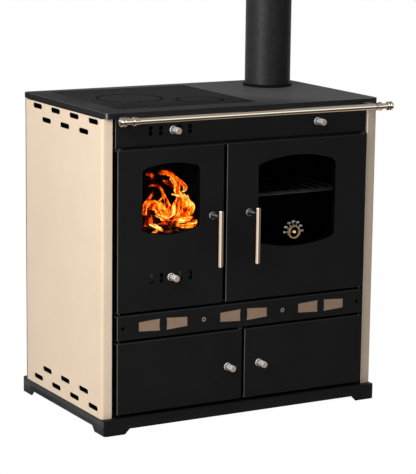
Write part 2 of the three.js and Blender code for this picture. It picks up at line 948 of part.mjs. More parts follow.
function makeHob() {
  const [front, back] = [hobFront + slide, hobBack - slide];
  const holes = [];
  for (const disc of [largeDisc, smallDisc]) {
    const [x, y] = discPlace(disc);
    holes.push(barZ(x, y, discSeat, hobPlateTop + 1, disc.radius, discSides));
    holes.push(barZ(x, y, ledgeTop - 1, discSeat + 1, disc.radius - discStep, discSides));
  }
  const seam = slide / 2;
  const left = box(hobLeft + slide, hobSeam - seam, front, back, ledgeTop, hobPlateTop);
  const right = box(hobSeam + seam, hobRight - slide, front, back, ledgeTop, hobPlateTop);
  piece("hob_plate_left", left.subtract(union(holes)), castIron);
  piece("hob_plate_right", right.subtract(union(holes)), castIron);
  makeHobDisc("hob_disc_large", largeDisc);
  makeHobDisc("hob_disc_small", smallDisc);
}

// A lift-off disc: a lip that rests on the step, a shallower boss below it and a pocket for the lifter.
function makeHobDisc(name, disc) {
  const lip = barZ(0, 0, discSeat, hobPlateTop, disc.radius - slide, discSides);
  const bossRadius = disc.radius - discStep - slide;
  const boss = barZ(0, 0, ledgeTop + slide, discSeat + 1, bossRadius, discSides);
  const pocketY = -disc.radius + pocketInset;
  const pocket = slabZ(
    slotOutline(0, pocketY, pocketLength, pocketWidth),
    hobPlateTop - pocketDepth,
    hobPlateTop + 1,
  );
  piece(name, lip.add(boss).subtract(pocket), castIron, [...discPlace(disc), 0]);
}

// The flue collar stands on the plate and reaches into the pipe; the pipe stands on its shoulder.
function makeFlue() {
  const shoulder = topTop + collarHeight;
  const spigot = flueRadius - flueSheet - fit;
  const bore = spigot - spigotWall;
  const collar = turned(
    [
      [bore, topTop - spigotDrop],
      [flueHoleRadius - slide, topTop - spigotDrop],
      [flueHoleRadius - slide, topTop],
      [collarRadius, topTop],
      [collarRadius, shoulder - 1],
      [collarRadius - 1, shoulder],
      [spigot, shoulder],
      [spigot, shoulder + spigotHeight],
      [bore, shoulder + spigotHeight],
      [bore, topTop - spigotDrop],
    ],
    flueSides,
  );
  const pipe = turned(
    [
      [flueRadius - flueSheet, shoulder],
      [flueRadius, shoulder],
      [flueRadius, shoulder + flueLength],
      [flueRadius - flueSheet, shoulder + flueLength],
      [flueRadius - flueSheet, shoulder],
    ],
    flueSides,
  );
  piece("flue_collar", collar, castIron, [flueX, flueY, 0]).rotation.x = Math.PI / 2;
  piece("flue_pipe", pipe, darkSheet, [flueX, flueY, 0]).rotation.x = Math.PI / 2;
}

// The rail: a tube held by two brackets under the top plate, with a turned finial at each end.
function makeRail() {
  const bore = railRadius - railSheet;
  const tube = turned(
    [
      [bore, -railHalfLength],
      [railRadius, -railHalfLength],
      [railRadius, railHalfLength],
      [bore, railHalfLength],
      [bore, -railHalfLength],
    ],
    railSides,
  );
  const place = [0, -railForward, railZ];
  piece("rail_tube", tube, chrome, place).rotation.z = -Math.PI / 2;
  const plug = bore - fit;
  const finial = turned(
    [
      [0, -10],
      [plug, -10],
      [plug, 0],
      [railRadius, 0],
      [railRadius, 3],
      [finialRadius - 1.6, 4],
      [finialRadius - 1, 6],
      [finialRadius - 1.6, 8.4],
      [railRadius + 1, 9.4],
      [finialRadius - 0.8, 11],
      [finialRadius, 13.5],
      [finialRadius, 16],
      [finialRadius - 1, 18.2],
      [finialRadius - 3.5, finialLength - 0.8],
      [finialRadius - 7, finialLength],
      [0, finialLength],
    ],
    railSides,
  );
  for (const side of [-1, 1]) {
    const end = side < 0 ? "left" : "right";
    const cap = piece(`rail_finial_${end}`, finial, chrome, [side * railHalfLength, ...place.slice(1)]);
    cap.rotation.z = (-side * Math.PI) / 2;
    piece(`rail_bracket_${end}`, railBracket(side), chrome);
  }
}

// One bracket: a bell-shaped ring round the tube and an arm back to the plate's underside.
function railBracket(side) {
  const bell = turned(
    [
      [railRadius - 1, -12],
      [railRadius + 1.4, -12],
      [railRadius + 2.6, -4],
      [finialRadius, -1.5],
      [finialRadius, 4],
      [finialRadius - 1.2, 5.5],
      [railRadius - 1, 5.5],
      [railRadius - 1, -12],
    ],
    railSides,
  );
  bell.rotateZ((-side * Math.PI) / 2).translate(side * bracketX, -railForward, railZ);
  const rise = bracketArm / 2;
  const arm = polygon([
    [-topOverhangFront + bracketPad, topBottom],
    [-topOverhangFront - fit, topBottom],
    [-topOverhangFront - 7, railZ + rise],
    [-railForward, railZ + rise],
    [-railForward, railZ - rise],
    [-topOverhangFront - 5, topBottom - rise],
    [-topOverhangFront + 4, topBottom - bracketArm],
    [-topOverhangFront + bracketPad, topBottom - bracketArm],
  ]);
  const half = bracketWidth / 2;
  const bar = slabX(arm, side * bracketX - half, side * bracketX + half);
  const bore = barX(
    -railForward,
    railZ,
    side * bracketX - 2 * bracketWidth,
    side * bracketX + 2 * bracketWidth,
    railRadius + fit,
    railSides,
  );
  return solidOf(bell).add(bar).subtract(bore);
}

// The firebox: an open-topped shell with a shelf for the grate, lined with firebricks.
const fireInner = {
  x0: fireboxLeft + fireboxWall,
  x1: fireboxRight - fireboxWall,
  y1: fireboxBack - fireboxWall,
};

function makeFirebox() {
  const inner = fireInner;
  const wallTop = topBottom - slide;
  const shell = box(fireboxLeft, fireboxRight, frameBack, fireboxBack, hearthHeight, wallTop);
  const ashSpace = box(
    inner.x0,
    inner.x1,
    frameBack - 1,
    inner.y1,
    hearthHeight + fireboxWall,
    grateShelfHeight - fireboxWall,
  );
  const fireSpace = box(
    inner.x0,
    inner.x1,
    frameBack - 1,
    inner.y1,
    grateShelfHeight,
    wallTop + 1,
  );
  const smokeGap = box(
    inner.x1 - 1,
    fireboxRight + 1,
    frameBack - 1,
    inner.y1,
    topBottom - smokeGapHeight,
    wallTop + 1,
  );
  const grateHole = box(
    grateX0 + grateHoleMargin,
    grateX1 - grateHoleMargin,
    brickFront + grateHoleMargin,
    grateBack - grateHoleMargin,
    grateShelfHeight - fireboxWall - 1,
    grateShelfHeight + 1,
  );
  const body = shell.subtract(ashSpace).subtract(fireSpace).subtract(smokeGap).subtract(grateHole);
  piece("firebox_shell", body, innerSheet);
}

// Firebricks stand on the shelf, with the top inner edge chamfered.
function makeFirebricks() {
  const inner = fireInner;
  const [x0, x1, back] = [inner.x0 + slide, inner.x1 - slide, inner.y1 - slide];
  const side = (outer, way) =>
    polygon([
      [outer, grateShelfHeight],
      [outer + way * brickThickness, grateShelfHeight],
      [outer + way * brickThickness, brickTop - brickChamfer],
      [outer + way * (brickThickness - brickChamfer), brickTop],
      [outer, brickTop],
    ]);
  piece("firebrick_left", slabY(side(x0, 1), brickFront, back), fireclay);
  piece("firebrick_right", slabY(side(x1, -1), brickFront, back), fireclay);
  const rear = slabX(side(back, -1), x0 + brickThickness + slide, x1 - brickThickness - slide);
  piece("firebrick_back", rear, fireclay);
}

const grateX0 = fireInner.x0 + brickThickness + 2 * slide;
const grateX1 = fireInner.x1 - brickThickness - 2 * slide;
const grateBack = fireInner.y1 - brickThickness - 2 * slide;

// The grate: a cast plate with slots, on the shelf between the bricks.
function makeGrate() {
  const top = grateShelfHeight + grateThickness;
  const plate = box(grateX0, grateX1, brickFront, grateBack, grateShelfHeight, top);
  const centreX = (grateX0 + grateX1) / 2;
  const centreY = (brickFront + grateBack) / 2;
  const length = grateBack - brickFront - 2 * grateSlotMargin;
  const cuts = [];
  for (let i = 0; i < grateSlotCount; i += 1) {
    const x = centreX + (i - (grateSlotCount - 1) / 2) * grateSlotPitch;
    const slot = slotOutline(0, 0, length, grateSlotWidth);
    const cut = slabZ(slot, grateShelfHeight - 1, top + 1, 2);
    cuts.push(cut.rotate([0, 0, 90]).translate([x, centreY, 0]));
  }
  piece("fire_grate", plate.subtract(union(cuts)), castIron);
}

// The ash pan stands on the firebox floor behind the foot of the fire door.
function makeAshPan() {
  const floor = hearthHeight + fireboxWall;
  const [x0, x1] = [ashHole.x0 + ashPanMargin, ashHole.x1 - ashPanMargin];
  const front = frameBack + slide;
  const top = ashHole.z1 - ashPanDrop;
  const outer = box(x0, x1, front, ashPanBack, floor, top);
  const hollow = box(
    x0 + ashPanSheet,
    x1 - ashPanSheet,
    front + ashPanSheet,
    ashPanBack - ashPanSheet,
    floor + ashPanSheet,
    top + 1,
  );
  const grip = slabY(
    slotOutline((x0 + x1) / 2, top - ashGripDrop, ashGripLength, ashGripHeight),
    front - 1,
    front + ashPanSheet + 1,
  );
  piece("ash_pan", outer.subtract(hollow).subtract(grip), innerSheet);
}

// The oven box, on two feet over the hearth, with runners for the rack.
function makeOven() {
  const [x0, x1] = [ovenHole.x0 - ovenMargin, ovenHole.x1 + ovenMargin];
  const outer = box(
    x0 - ovenSheet,
    x1 + ovenSheet,
    frameBack,
    ovenBack,
    ovenFloorZ - ovenSheet,
    ovenTopZ,
  );
  const hollow = box(x0, x1, frameBack - 1, ovenBack - ovenSheet, ovenFloorZ, ovenCeilingZ);
  const extras = [];
  for (const x of [x0 + ovenFootInset, x1 - ovenFootInset - ovenFootWidth]) {
    const top = ovenFloorZ - ovenSheet;
    extras.push(box(x, x + ovenFootWidth, runnerFront, runnerBack, hearthHeight, top));
  }
  for (const height of runnerHeights) {
    const z = ovenFloorZ + height;
    extras.push(box(x0 - 1, x0 + runnerWidth, runnerFront, runnerBack, z - runnerSheet, z));
    extras.push(box(x1 - runnerWidth, x1 + 1, runnerFront, runnerBack, z - runnerSheet, z));
  }
  piece("oven_box", outer.subtract(hollow).add(union(extras)), innerSheet);
  makeOvenRack(runnerHeights.at(-1) + ovenFloorZ);
}

// The rack: a wire frame on the top pair of runners, as wide as the front opening lets through.
function makeOvenRack(seat) {
  const z = seat + fit + rackFrameRadius;
  const x0 = ovenHole.x0 + ashPanMargin + rackFrameRadius;
  const x1 = ovenHole.x1 - ashPanMargin - rackFrameRadius;
  const wires = [
    barY(x0, z, rackFront, rackBack, rackFrameRadius, 6),
    barY(x1, z, rackFront, rackBack, rackFrameRadius, 6),
    barX(rackFront + rackCrossWire, z, x0, x1, rackWireRadius, 6),
    barX(rackBack - rackCrossWire, z, x0, x1, rackWireRadius, 6),
  ];
  for (let i = 1; i <= rackWireCount; i += 1) {
    const x = x0 + ((x1 - x0) * i) / (rackWireCount + 1);
    wires.push(barY(x, z, rackFront, rackBack, rackWireRadius, 6));
  }
  piece("oven_rack", union(wires), chrome);
}

// The chamber under the flue, open at the back, with the bypass hole in its front wall.
function makeFlueChamber() {
  const back = casingBack - casingSheet - fit;
  const top = topBottom - slide;
  const shell = box(chamberLeft, chamberRight, chamberFront, back, ovenTopZ, top);
  const hollow = box(
    chamberLeft + chamberSheet,
    chamberRight - chamberSheet,
    chamberFront + chamberSheet,
    back + 1,
    ovenTopZ - 1,
    top + 1,
  );
  const bypass = barY(
    damperX,
    damperZ,
    chamberFront - 1,
    chamberFront + chamberSheet + 1,
    bypassRadius,
    32,
  );
  piece("flue_chamber", shell.subtract(hollow).subtract(bypass), innerSheet);
}

// The smoke damper: a disc on a pull rod, a guide on the fascia and a knob in front.
function makeDamper() {
  const discBack = chamberFront - fit;
  const rodFront = -knobLength + knobHead / 2;
  const rod = barY(damperX, damperZ, rodFront, discBack - damperDisc / 2, damperRodRadius);
  const disc = barY(damperX, damperZ, discBack - damperDisc, discBack, damperDiscRadius, 32);
  piece("damper_rod", rod.add(disc), innerSheet);
  const bore = damperRodRadius + fit;
  const guide = turned([
    [bore, -rosetteHeight],
    [rosetteRadius - 1.5, -rosetteHeight],
    [rosetteRadius, -rosetteHeight + 1.5],
    [rosetteRadius, 0],
    [bore, 0],
    [bore, -rosetteHeight],
  ]);
  piece("damper_guide", guide, chrome, [damperX, 0, damperZ]);
  const knob = turned([
    [0, -knobLength],
    [knobRadius - 2.5, -knobLength],
    [knobRadius - 1, -knobLength + 0.8],
    [knobRadius, -knobLength + 2.5],
    [knobRadius, -knobLength + knobHead - 3],
    [knobRadius - 1.5, -knobLength + knobHead],
    [knobNeckRadius + 1, -knobLength + knobHead + 1.5],
    [knobNeckRadius + 1, -rosetteHeight - 2],
    [bore, -rosetteHeight - 2],
    [bore, rodFront - fit],
    [0, rodFront - fit],
  ]);
  piece("damper_knob", knob, chrome, [damperX, 0, damperZ]);
}

// Shutters and their knobs: the upper one is stored closed, the one in the fire door open.
function makeAirControls() {
  const upperKnobX = fireDoorCentre + airTravel;
  const upperFront = doorSheet + fit;
  const upper = airShutter(upperKnobX, fireDoorCentre, fasciaAirZ, upperFront, airTravel);
  piece("top_air_shutter", upper, darkSheet);
  const knob = knobShape(doorSheet, shutterSheet + 2 * fit);
  piece("top_air_knob", knob, chrome, [upperKnobX, 0, fasciaAirZ]);
  const lower = airShutter(fireDoorCentre, fireDoorCentre, doorAirZ, skinBack + fit, 0);
  piece("fire_air_shutter", lower, darkSheet);
  piece("fire_air_knob", knob, chrome, [fireDoorCentre, doorFront, doorAirZ]);
}

// A glazed door's inner frame: a plate round the window, a rim round the glass, a boss at the lever.
function innerFrame(plate, door, window, leverX) {
  const body = box(plate.x0, plate.x1, innerPlateFront, innerPlateBack, plate.z0, plate.z1);
  const pocket = paneOf(door, window, slide);
  const rim = box(
    pocket.x0 - innerFrameRim,
    pocket.x1 + innerFrameRim,
    skinBack,
    innerPlateFront + 1,
    pocket.z0 - innerFrameRim,
    Math.min(pocket.z1 + innerFrameRim, plate.z1),
  );
  const boss = barY(leverX, leverZ, skinBack, innerPlateFront + 1, spindleCollarRadius);
  const cuts = [
    box(pocket.x0, pocket.x1, skinBack - 1, innerPlateFront, pocket.z0, pocket.z1),
    slabY(windowOutline(door, window), innerPlateFront - 1, innerPlateBack + 1),
    barY(leverX, leverZ, skinBack - 1, innerPlateBack + 1, spindleRadius + fit),
  ];
  return body.add(rim).add(boss).subtract(union(cuts));
}

// The rope gasket round a frame opening.
function gasketRing(hole) {
  const inner = gasketMargin;
  const outer = gasketMargin + gasketWidth;
  const ring = (grow, radius) =>
    rectangle(hole.x0 - grow, hole.x1 + grow, hole.z0 - grow, hole.z1 + grow, radius);
  const core = slabY(ring(inner, 4), gasketFront - 1, gasketBack + 1, 3);
  return slabY(ring(outer, 12), gasketFront, gasketBack, 3).subtract(core);
}

function hingeRod(name, side, z0, z1) {
  const rod = barZ(0, 0, z0, z1, hingeRodRadius);
  piece(name, rod, innerSheet, [side * hingeX, hingeY, 0]);
}

// Holes for a hinge rod in a pan's top and bottom walls.
function rodBore(side, z0, z1) {
  return barZ(side * hingeX, hingeY, z0 - 1, z1 + 1, hingeRodRadius + fit);
}

// A glazed door: folded panel, glass, inner frame, gasket and hinge rod.
function makeGlazedDoor(name, door, side, hole, window, leverX, extraCuts) {
  const [z0, z1] = [upperDoorBottom, upperDoorTop];
  const cuts = [
    slabY(windowOutline(door, window), doorFront - 1, skinBack + 1, 8),
    barY(leverX, leverZ, doorFront - 1, skinBack + 1, spindleRadius + fit),
    rodBore(side, z0, z1),
    ...extraCuts,
  ];
  const panel = foldedPan(door.x0, door.x1, z0, z1, doorFront, doorBack);
  piece(`${name}_panel`, panel.subtract(union(cuts)), blackPaint);
  const pane = paneOf(door, window);
  const glass = slabY(
    rectangle(pane.x0, pane.x1, pane.z0, pane.z1, glassCorner),
    glassFront,
    glassFront + glassThickness,
    3,
  );
  piece(`${name}_glass`, glass, glassBlack);
  const grow = gasketMargin + gasketWidth;
  const plate = {
    x0: hole.x0 - grow,
    x1: hole.x1 + grow,
    z0: hole.z0 - grow,
    z1: hole.z1 + grow,
  };
  piece(`${name}_inner_frame`, innerFrame(plate, door, window, leverX), castIron);
  piece(`${name}_gasket`, gasketRing(hole), rope);
  hingeRod(`${name}_hinge_rod`, side, lugLevels.upperLow - 1, lugLevels.upperHigh + lugSheet + 1);
}

// A lever handle: an upright grip on a spindle that carries the latch tongue behind the door.
function makeLever(name, x) {
  const grip = turned(
    [
      [0, gripAbove - gripLength],
      [gripRadius - 2, gripAbove - gripLength],
      [gripRadius, gripAbove - gripLength + 2],
      [gripRadius, gripAbove - 2],
      [gripRadius - 2, gripAbove],
      [0, gripAbove],
    ],
    railSides,
  );
  grip.rotateX(Math.PI / 2);
  piece(`${name}_grip`, grip, copperTube, [x, gripY, leverZ]);
  const tongueFront = frameBack + 1;
  const tongueBack = tongueFront + tongueSheet;
  const shaft = barY(0, 0, gripY, tongueBack, spindleRadius);
  const collarBack = doorFront - fit;
  const collar = barY(0, 0, collarBack - spindleCollar, collarBack, spindleCollarRadius, 6);
  const halfTongue = tongueWidth / 2;
  const tongue = box(-halfTongue, halfTongue, tongueFront, tongueBack, 0, tongueLength);
  const seat = barZ(0, gripY, -gripLength, gripLength, gripRadius + fit, railSides);
  const spindle = shaft.add(collar).add(tongue).subtract(seat);
  piece(`${name}_spindle`, spindle, castIron, [x, 0, leverZ]);
}

// The oven thermometer: a shallow case on the glass and a pointer on a hub.
function makeThermometer() {
  const back = glassFront - fit;
  const front = back - thermometerDepth;
  const floor = back - thermometerFloor;
  const inner = thermometerRadius - thermometerWall;
  const z = upperDoorBottom + thermometerHeight;
  const rounded = 1.2;
  const dialCase = turned(
    [
      [0, floor],
      [inner, floor],
      [inner, front + rounded],
      [inner + rounded, front],
      [thermometerRadius - rounded, front],
      [thermometerRadius, front + rounded],
      [thermometerRadius, back],
      [0, back],
    ],
    24,
  );
  piece("thermometer_case", dialCase, chrome, [ovenDoorCentre + thermometerShift, 0, z]);
  const hubFront = front + 1;
  const hub = barY(0, 0, hubFront, floor - fit, pointerHub, 12);
  const halfWidth = pointerWidth / 2;
  const needle = box(-pointerLength, 0, hubFront + 1, hubFront + 2.2, -halfWidth, halfWidth);
  piece("thermometer_pointer", hub.add(needle), chrome, [ovenDoorCentre + thermometerShift, 0, z]);
}

// A door of the wood store: folded panel, knob and hinge rod.
function makeLowerDoor(name, side) {
  const inner = side * (lowerDoorGap / 2);
  const [x0, x1] = [side * doorEdgeX, inner].sort((a, b) => a - b);
  const knobX = side * (lowerDoorGap / 2 + lowerKnobInset);
  const knobZ = lowerDoorBottom + lowerKnobHeight;
  const pan = foldedPan(x0, x1, lowerDoorBottom, lowerDoorTop, doorFront, doorBack);
  const cuts = [
    rodBore(side, lowerDoorBottom, lowerDoorTop),
    barY(knobX, knobZ, doorFront - 1, skinBack + 1, knobStemRadius + fit),
  ];
  piece(`${name}_panel`, pan.subtract(union(cuts)), blackPaint);
  piece(`${name}_knob`, knobShape(doorSheet, fit), chrome, [knobX, doorFront, knobZ]);
  hingeRod(`${name}_hinge_rod`, side, lugLevels.lowerLow - 1, lugLevels.lowerHigh + lugSheet + 1);
}

// The magnetic catch between the lower doors, on the front frame.
function makeDoorCatch() {
  const top = lowerDoorTop;
  const body = box(
    -catchHalfWidth,
    catchHalfWidth,
    doorBack + fit,
    frameFront,
    top - catchHeight,
    top,
  );
  piece("door_catch", body, innerSheet);
}

makePlinth();
makeSidePanel("side_panel_left", -1);
makeSidePanel("side_panel_right", 1);
makeBackPanel();
makeInnerCasing();
makeFrontFrame();
makeFascia();
makeMidStrip();
makeTopPlate();
makeHob();
makeFlue();
makeRail();
makeFirebox();
makeFirebricks();
makeGrate();
makeAshPan();
makeOven();
makeFlueChamber();
makeDamper();
makeAirControls();
const doorAirCuts = [
  airSlots(fireDoorCentre, doorAirZ, doorFront - 1, skinBack + 1),
  travelSlot(fireDoorCentre, doorAirZ, airTravel, doorFront - 1, skinBack + 1),
];
const fireDoor = { x0: -doorEdgeX, x1: fireDoorRight };
const ovenDoor = { x0: ovenDoorLeft, x1: doorEdgeX };
makeGlazedDoor("fire_door", fireDoor, -1, fireHole, fireWindow, fireLeverX, doorAirCuts);
makeGlazedDoor("oven_door", ovenDoor, 1, ovenHole, ovenWindow, ovenLeverX, []);
makeLever("fire_handle", fireLeverX);
makeLever("oven_handle", ovenLeverX);
makeThermometer();
makeLowerDoor("lower_left_door", -1);
makeLowerDoor("lower_right_door", 1);
makeDoorCatch();

// The part's own frame: the origin is the middle of the foot of its box, so Y = 0 moves to that middle.
const frontReach = -railForward - finialRadius;
const backReach = bodyDepth + plinthHeel;
const part = new THREE.Group();
stove.position.y = -(frontReach + backReach) / 2;
part.add(stove);

export default part;
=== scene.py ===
"""Dresses a wood-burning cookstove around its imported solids.

Sizes are millimetres in the part's own frame: X runs right, Y back and Z up. They become metres
where a mesh is made. Each sub-assembly is a class that builds its pieces and gives them a finish.
"""

from __future__ import annotations

import functools
import logging
import math
from dataclasses import dataclass, field
from enum import Enum
from typing import Any, Iterable, Sequence

import bmesh
import bpy
from mathutils import Matrix, Vector, noise

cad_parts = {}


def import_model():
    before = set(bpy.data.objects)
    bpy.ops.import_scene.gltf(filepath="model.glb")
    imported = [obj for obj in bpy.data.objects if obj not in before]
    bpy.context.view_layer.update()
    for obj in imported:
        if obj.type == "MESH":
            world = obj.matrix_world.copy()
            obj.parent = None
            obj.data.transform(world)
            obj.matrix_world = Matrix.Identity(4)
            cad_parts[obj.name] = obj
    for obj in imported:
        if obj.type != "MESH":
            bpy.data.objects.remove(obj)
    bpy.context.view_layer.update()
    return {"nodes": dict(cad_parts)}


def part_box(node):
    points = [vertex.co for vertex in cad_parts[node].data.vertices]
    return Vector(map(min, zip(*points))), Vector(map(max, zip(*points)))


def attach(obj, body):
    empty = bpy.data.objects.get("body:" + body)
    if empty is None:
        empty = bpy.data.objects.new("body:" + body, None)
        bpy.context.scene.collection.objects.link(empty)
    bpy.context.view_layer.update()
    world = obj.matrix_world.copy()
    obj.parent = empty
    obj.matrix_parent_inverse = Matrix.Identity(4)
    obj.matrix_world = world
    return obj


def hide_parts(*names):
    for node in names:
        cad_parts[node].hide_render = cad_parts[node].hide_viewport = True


LOG = logging.getLogger("cookstove")
METRE = 1000.0
BURR = 0.3
WINDOW_CORNER = 8.0
WINDOW_LIFT = 2.0

Point = tuple[float, float]
Point3 = tuple[float, float, float]
Colour = tuple[float, float, float]
Station = tuple[float, float]


class Facing(Enum):
    """The way that a flat outline looks, as its u and v axes; it looks along u cross v."""

    FRONT = ((1, 0, 0), (0, 0, 1))
    LEFT = ((0, -1, 0), (0, 0, 1))
    RIGHT = ((0, 1, 0), (0, 0, 1))
    UP = ((1, 0, 0), (0, 1, 0))

    def place(self, u: float, v: float, level: float) -> Vector:
        """Turns flat coordinates into a point of the part's frame."""
        across, up = Vector(self.value[0]), Vector(self.value[1])
        return across * u + up * v + across.cross(up) * level


class Side(Enum):
    """The left or the right half of the stove, as the sign of X."""

    LEFT = -1
    RIGHT = 1

    @property
    def word(self) -> str:
        """The side's name as node names spell it."""
        return self.name.lower()

    @property
    def facing(self) -> Facing:
        """The way that this side's outer sheet looks."""
        return Facing.LEFT if self is Side.LEFT else Facing.RIGHT


@dataclass(frozen=True)
class Box:
    """The extent of a CAD node at rest, in millimetres."""

    low: Vector
    high: Vector

    @classmethod
    def of(cls, node: str) -> Box:
        """Reads a CAD node's extent from the frame."""
        low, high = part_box(node)
        return cls(low * METRE, high * METRE)

    @property
    def middle(self) -> Vector:
        """The middle of the box."""
        return (self.low + self.high) / 2


def arc(centre: Point, radius: float, start: float, end: float, steps: int) -> list[Point]:
    """Lists points on an arc.

    Args:
        centre: The arc's centre.
        radius: Its radius.
        start: Its first angle in degrees.
        end: Its last angle in degrees.
        steps: How many chords it has.

    Returns:
        The points, both ends included.
    """
    points = []
    for i in range(steps + 1):
        angle = math.radians(start + (end - start) * i / steps)
        points.append((centre[0] + radius * math.cos(angle), centre[1] + radius * math.sin(angle)))
    return points


def bow(start: Point, bend: Point, end: Point, steps: int) -> list[Point]:
    """Lists points on a parabola from start to end, its last point left out.

    Args:
        start: The first point.
        bend: The control point.
        end: The last point.
        steps: How many chords it has.

    Returns:
        The points up to the last but one.
    """
    points = []
    for i in range(steps):
        t = i / steps
        a, b, c = (1 - t) ** 2, 2 * t * (1 - t), t * t
        points.append(tuple(a * start[k] + b * bend[k] + c * end[k] for k in (0, 1)))
    return points


@dataclass(frozen=True)
class Outline:
    """A closed outline in u and v, running anticlockwise."""

    points: tuple[Point, ...]

    @classmethod
    def rectangle(
        cls, u0: float, u1: float, v0: float, v1: float, radius: float, steps: int = 6,
    ) -> Outline:
        """Makes a rectangle with round corners.

        Args:
            u0: The left edge.
            u1: The right edge.
            v0: The lower edge.
            v1: The upper edge.
            radius: The corner radius.
            steps: How many chords a corner has.

        Returns:
            The outline.
        """
        r = radius
        corners = (
            ((u1 - r, v0 + r), -90), ((u1 - r, v1 - r), 0), ((u0 + r, v1 - r), 90), ((u0 + r, v0 + r), 180),
        )
        return cls(tuple(p for c, a in corners for p in arc(c, r, a, a + 90, steps)))

    @classmethod
    def plan(cls, box: Box, radius: float, steps: int) -> Outline:
        """Makes a box's outline as seen from above."""
        return cls.rectangle(box.low.x, box.high.x, box.low.y, box.high.y, radius, steps)

    @classmethod
    def slot(cls, u: float, v: float, length: float, height: float) -> Outline:
        """Makes a slot with round ends, along u."""
        r, reach = height / 2, (length - height) / 2
        return cls((*arc((u + reach, v), r, -90, 90, 10), *arc((u - reach, v), r, 90, 270, 10)))

    @classmethod
    def circle(cls, u: float, v: float, radius: float, steps: int = 48) -> Outline:
        """Makes a circle."""
        return cls(tuple(arc((u, v), radius, 0, 360, steps)[:-1]))

    @classmethod
    def window(cls, u0: float, u1: float, low: float, high: float, rise: float, drop: float) -> Outline:
        """Makes a window with straight sides, a shallow arch above and a shallow bow below.

        Args:
            u0: The left side.
            u1: The right side.
            low: The foot of the sides.
            high: The head of the sides.
            rise: How far the arch stands above the sides.
            drop: How far the bow hangs below them.

        Returns:
            The outline.
        """
        middle, c, lift = (u0 + u1) / 2, WINDOW_CORNER, WINDOW_LIFT
        foot, shoulder = low - lift, high + lift
        under, over = low - 2 * drop + lift, high + 2 * rise - lift
        points = bow((u0 + c, foot), (middle, under), (u1 - c, foot), 30)
        points += bow((u1 - c, foot), (u1, low), (u1, low + c), 6)
        points += [(u1, low + c)]
        points += bow((u1, high - c), (u1, high), (u1 - c, shoulder), 6)
        points += bow((u1 - c, shoulder), (middle, over), (u0 + c, shoulder), 30)
        points += bow((u0 + c, shoulder), (u0, high), (u0, high - c), 6)
        points += [(u0, high - c)]
        points += bow((u0, low + c), (u0, low), (u0 + c, foot), 6)
        return cls(tuple(points))

    @classmethod
    def inlay(cls, near: float, far: float, v: float, tall: float, short: float, bend: float) -> Outline:
        """Makes a tapered inlay, tall at its near end, where the edge is bowed inwards.

        Args:
            near: The tall end in u.
            far: The short end in u.
            v: The middle in v.
            tall: Half the height at the near end.
            short: Half the height at the far end.
            bend: How deep the near end's bow is.

        Returns:
            The outline.
        """
        way = 1 if far > near else -1
        points = [(far, v - short), (far, v + short)]
        points += bow((near, v + tall), (near + 2 * way * bend, v), (near, v - tall), 8)
        points += [(near, v - tall)]
        return cls(tuple(points if way > 0 else reversed(points)))

    def offset(self, grow: float) -> Outline:
        """Moves the outline outwards, or inwards where grow is negative.

        Args:
            grow: The distance.

        Returns:
            The moved outline, with as many points.
        """
        if grow == 0:
            return self
        count, moved = len(self.points), []
        for i, here in enumerate(self.points):
            before, after = Vector(self.points[i - 1]), Vector(self.points[(i + 1) % count])
            first = (Vector(here) - before).normalized()
            second = (after - Vector(here)).normalized()
            a, b = Vector((first.y, -first.x)), Vector((second.y, -second.x))
            shift = (a + b) / max(1 + a.dot(b), 0.2)
            moved.append((here[0] + shift.x * grow, here[1] + shift.y * grow))
        return Outline(tuple(moved))


def rounding(edge: float, way: float, steps: int = 4) -> list[Station]:
    """Lists the growth and depth of a rounded edge; way is 1 for a hole and -1 for a plate."""
    return arc((way * edge, edge), edge, -90, -90 - 90 * way, steps)


@dataclass(frozen=True)
class Rim:
    """A boundary of a plate: an outline, and the growth and depth of each of its rings."""

    outline: Outline
    stations: tuple[Station, ...]

    @classmethod
    def pan(cls, outline: Outline, edge: float, sheet: float, depth: float) -> Rim:
        """Makes the folded boundary of a pan."""
        tail = [(0.0, depth - BURR), (-BURR, depth), (-sheet, depth), (-sheet, sheet)]
        return cls(outline, tuple(rounding(edge, -1) + tail))

    @classmethod
    def slab(cls, outline: Outline, edge: float, thickness: float) -> Rim:
        """Makes the boundary of a solid plate, rounded in front and behind."""
        front = rounding(edge, -1)
        return cls(outline, (*front, *((grow, thickness - depth) for grow, depth in reversed(front))))

    @classmethod
    def hole(cls, outline: Outline, edge: float, sheet: float) -> Rim:
        """Makes the boundary of a hole through a sheet."""
        front = rounding(edge, 1, 2) if edge > 0 else [(0.0, 0.0)]
        return cls(outline, tuple(front + [(0.0, sheet)]))

    @classmethod
    def stepped(cls, outline: Outline, edge: float, step: float, ledge: float, depth: float) -> Rim:
        """Makes the boundary of a hole that narrows by a ledge."""
        tail = [(0.0, step), (-ledge, step), (-ledge, depth)]
        return cls(outline, tuple(rounding(edge, 1, 2) + tail))


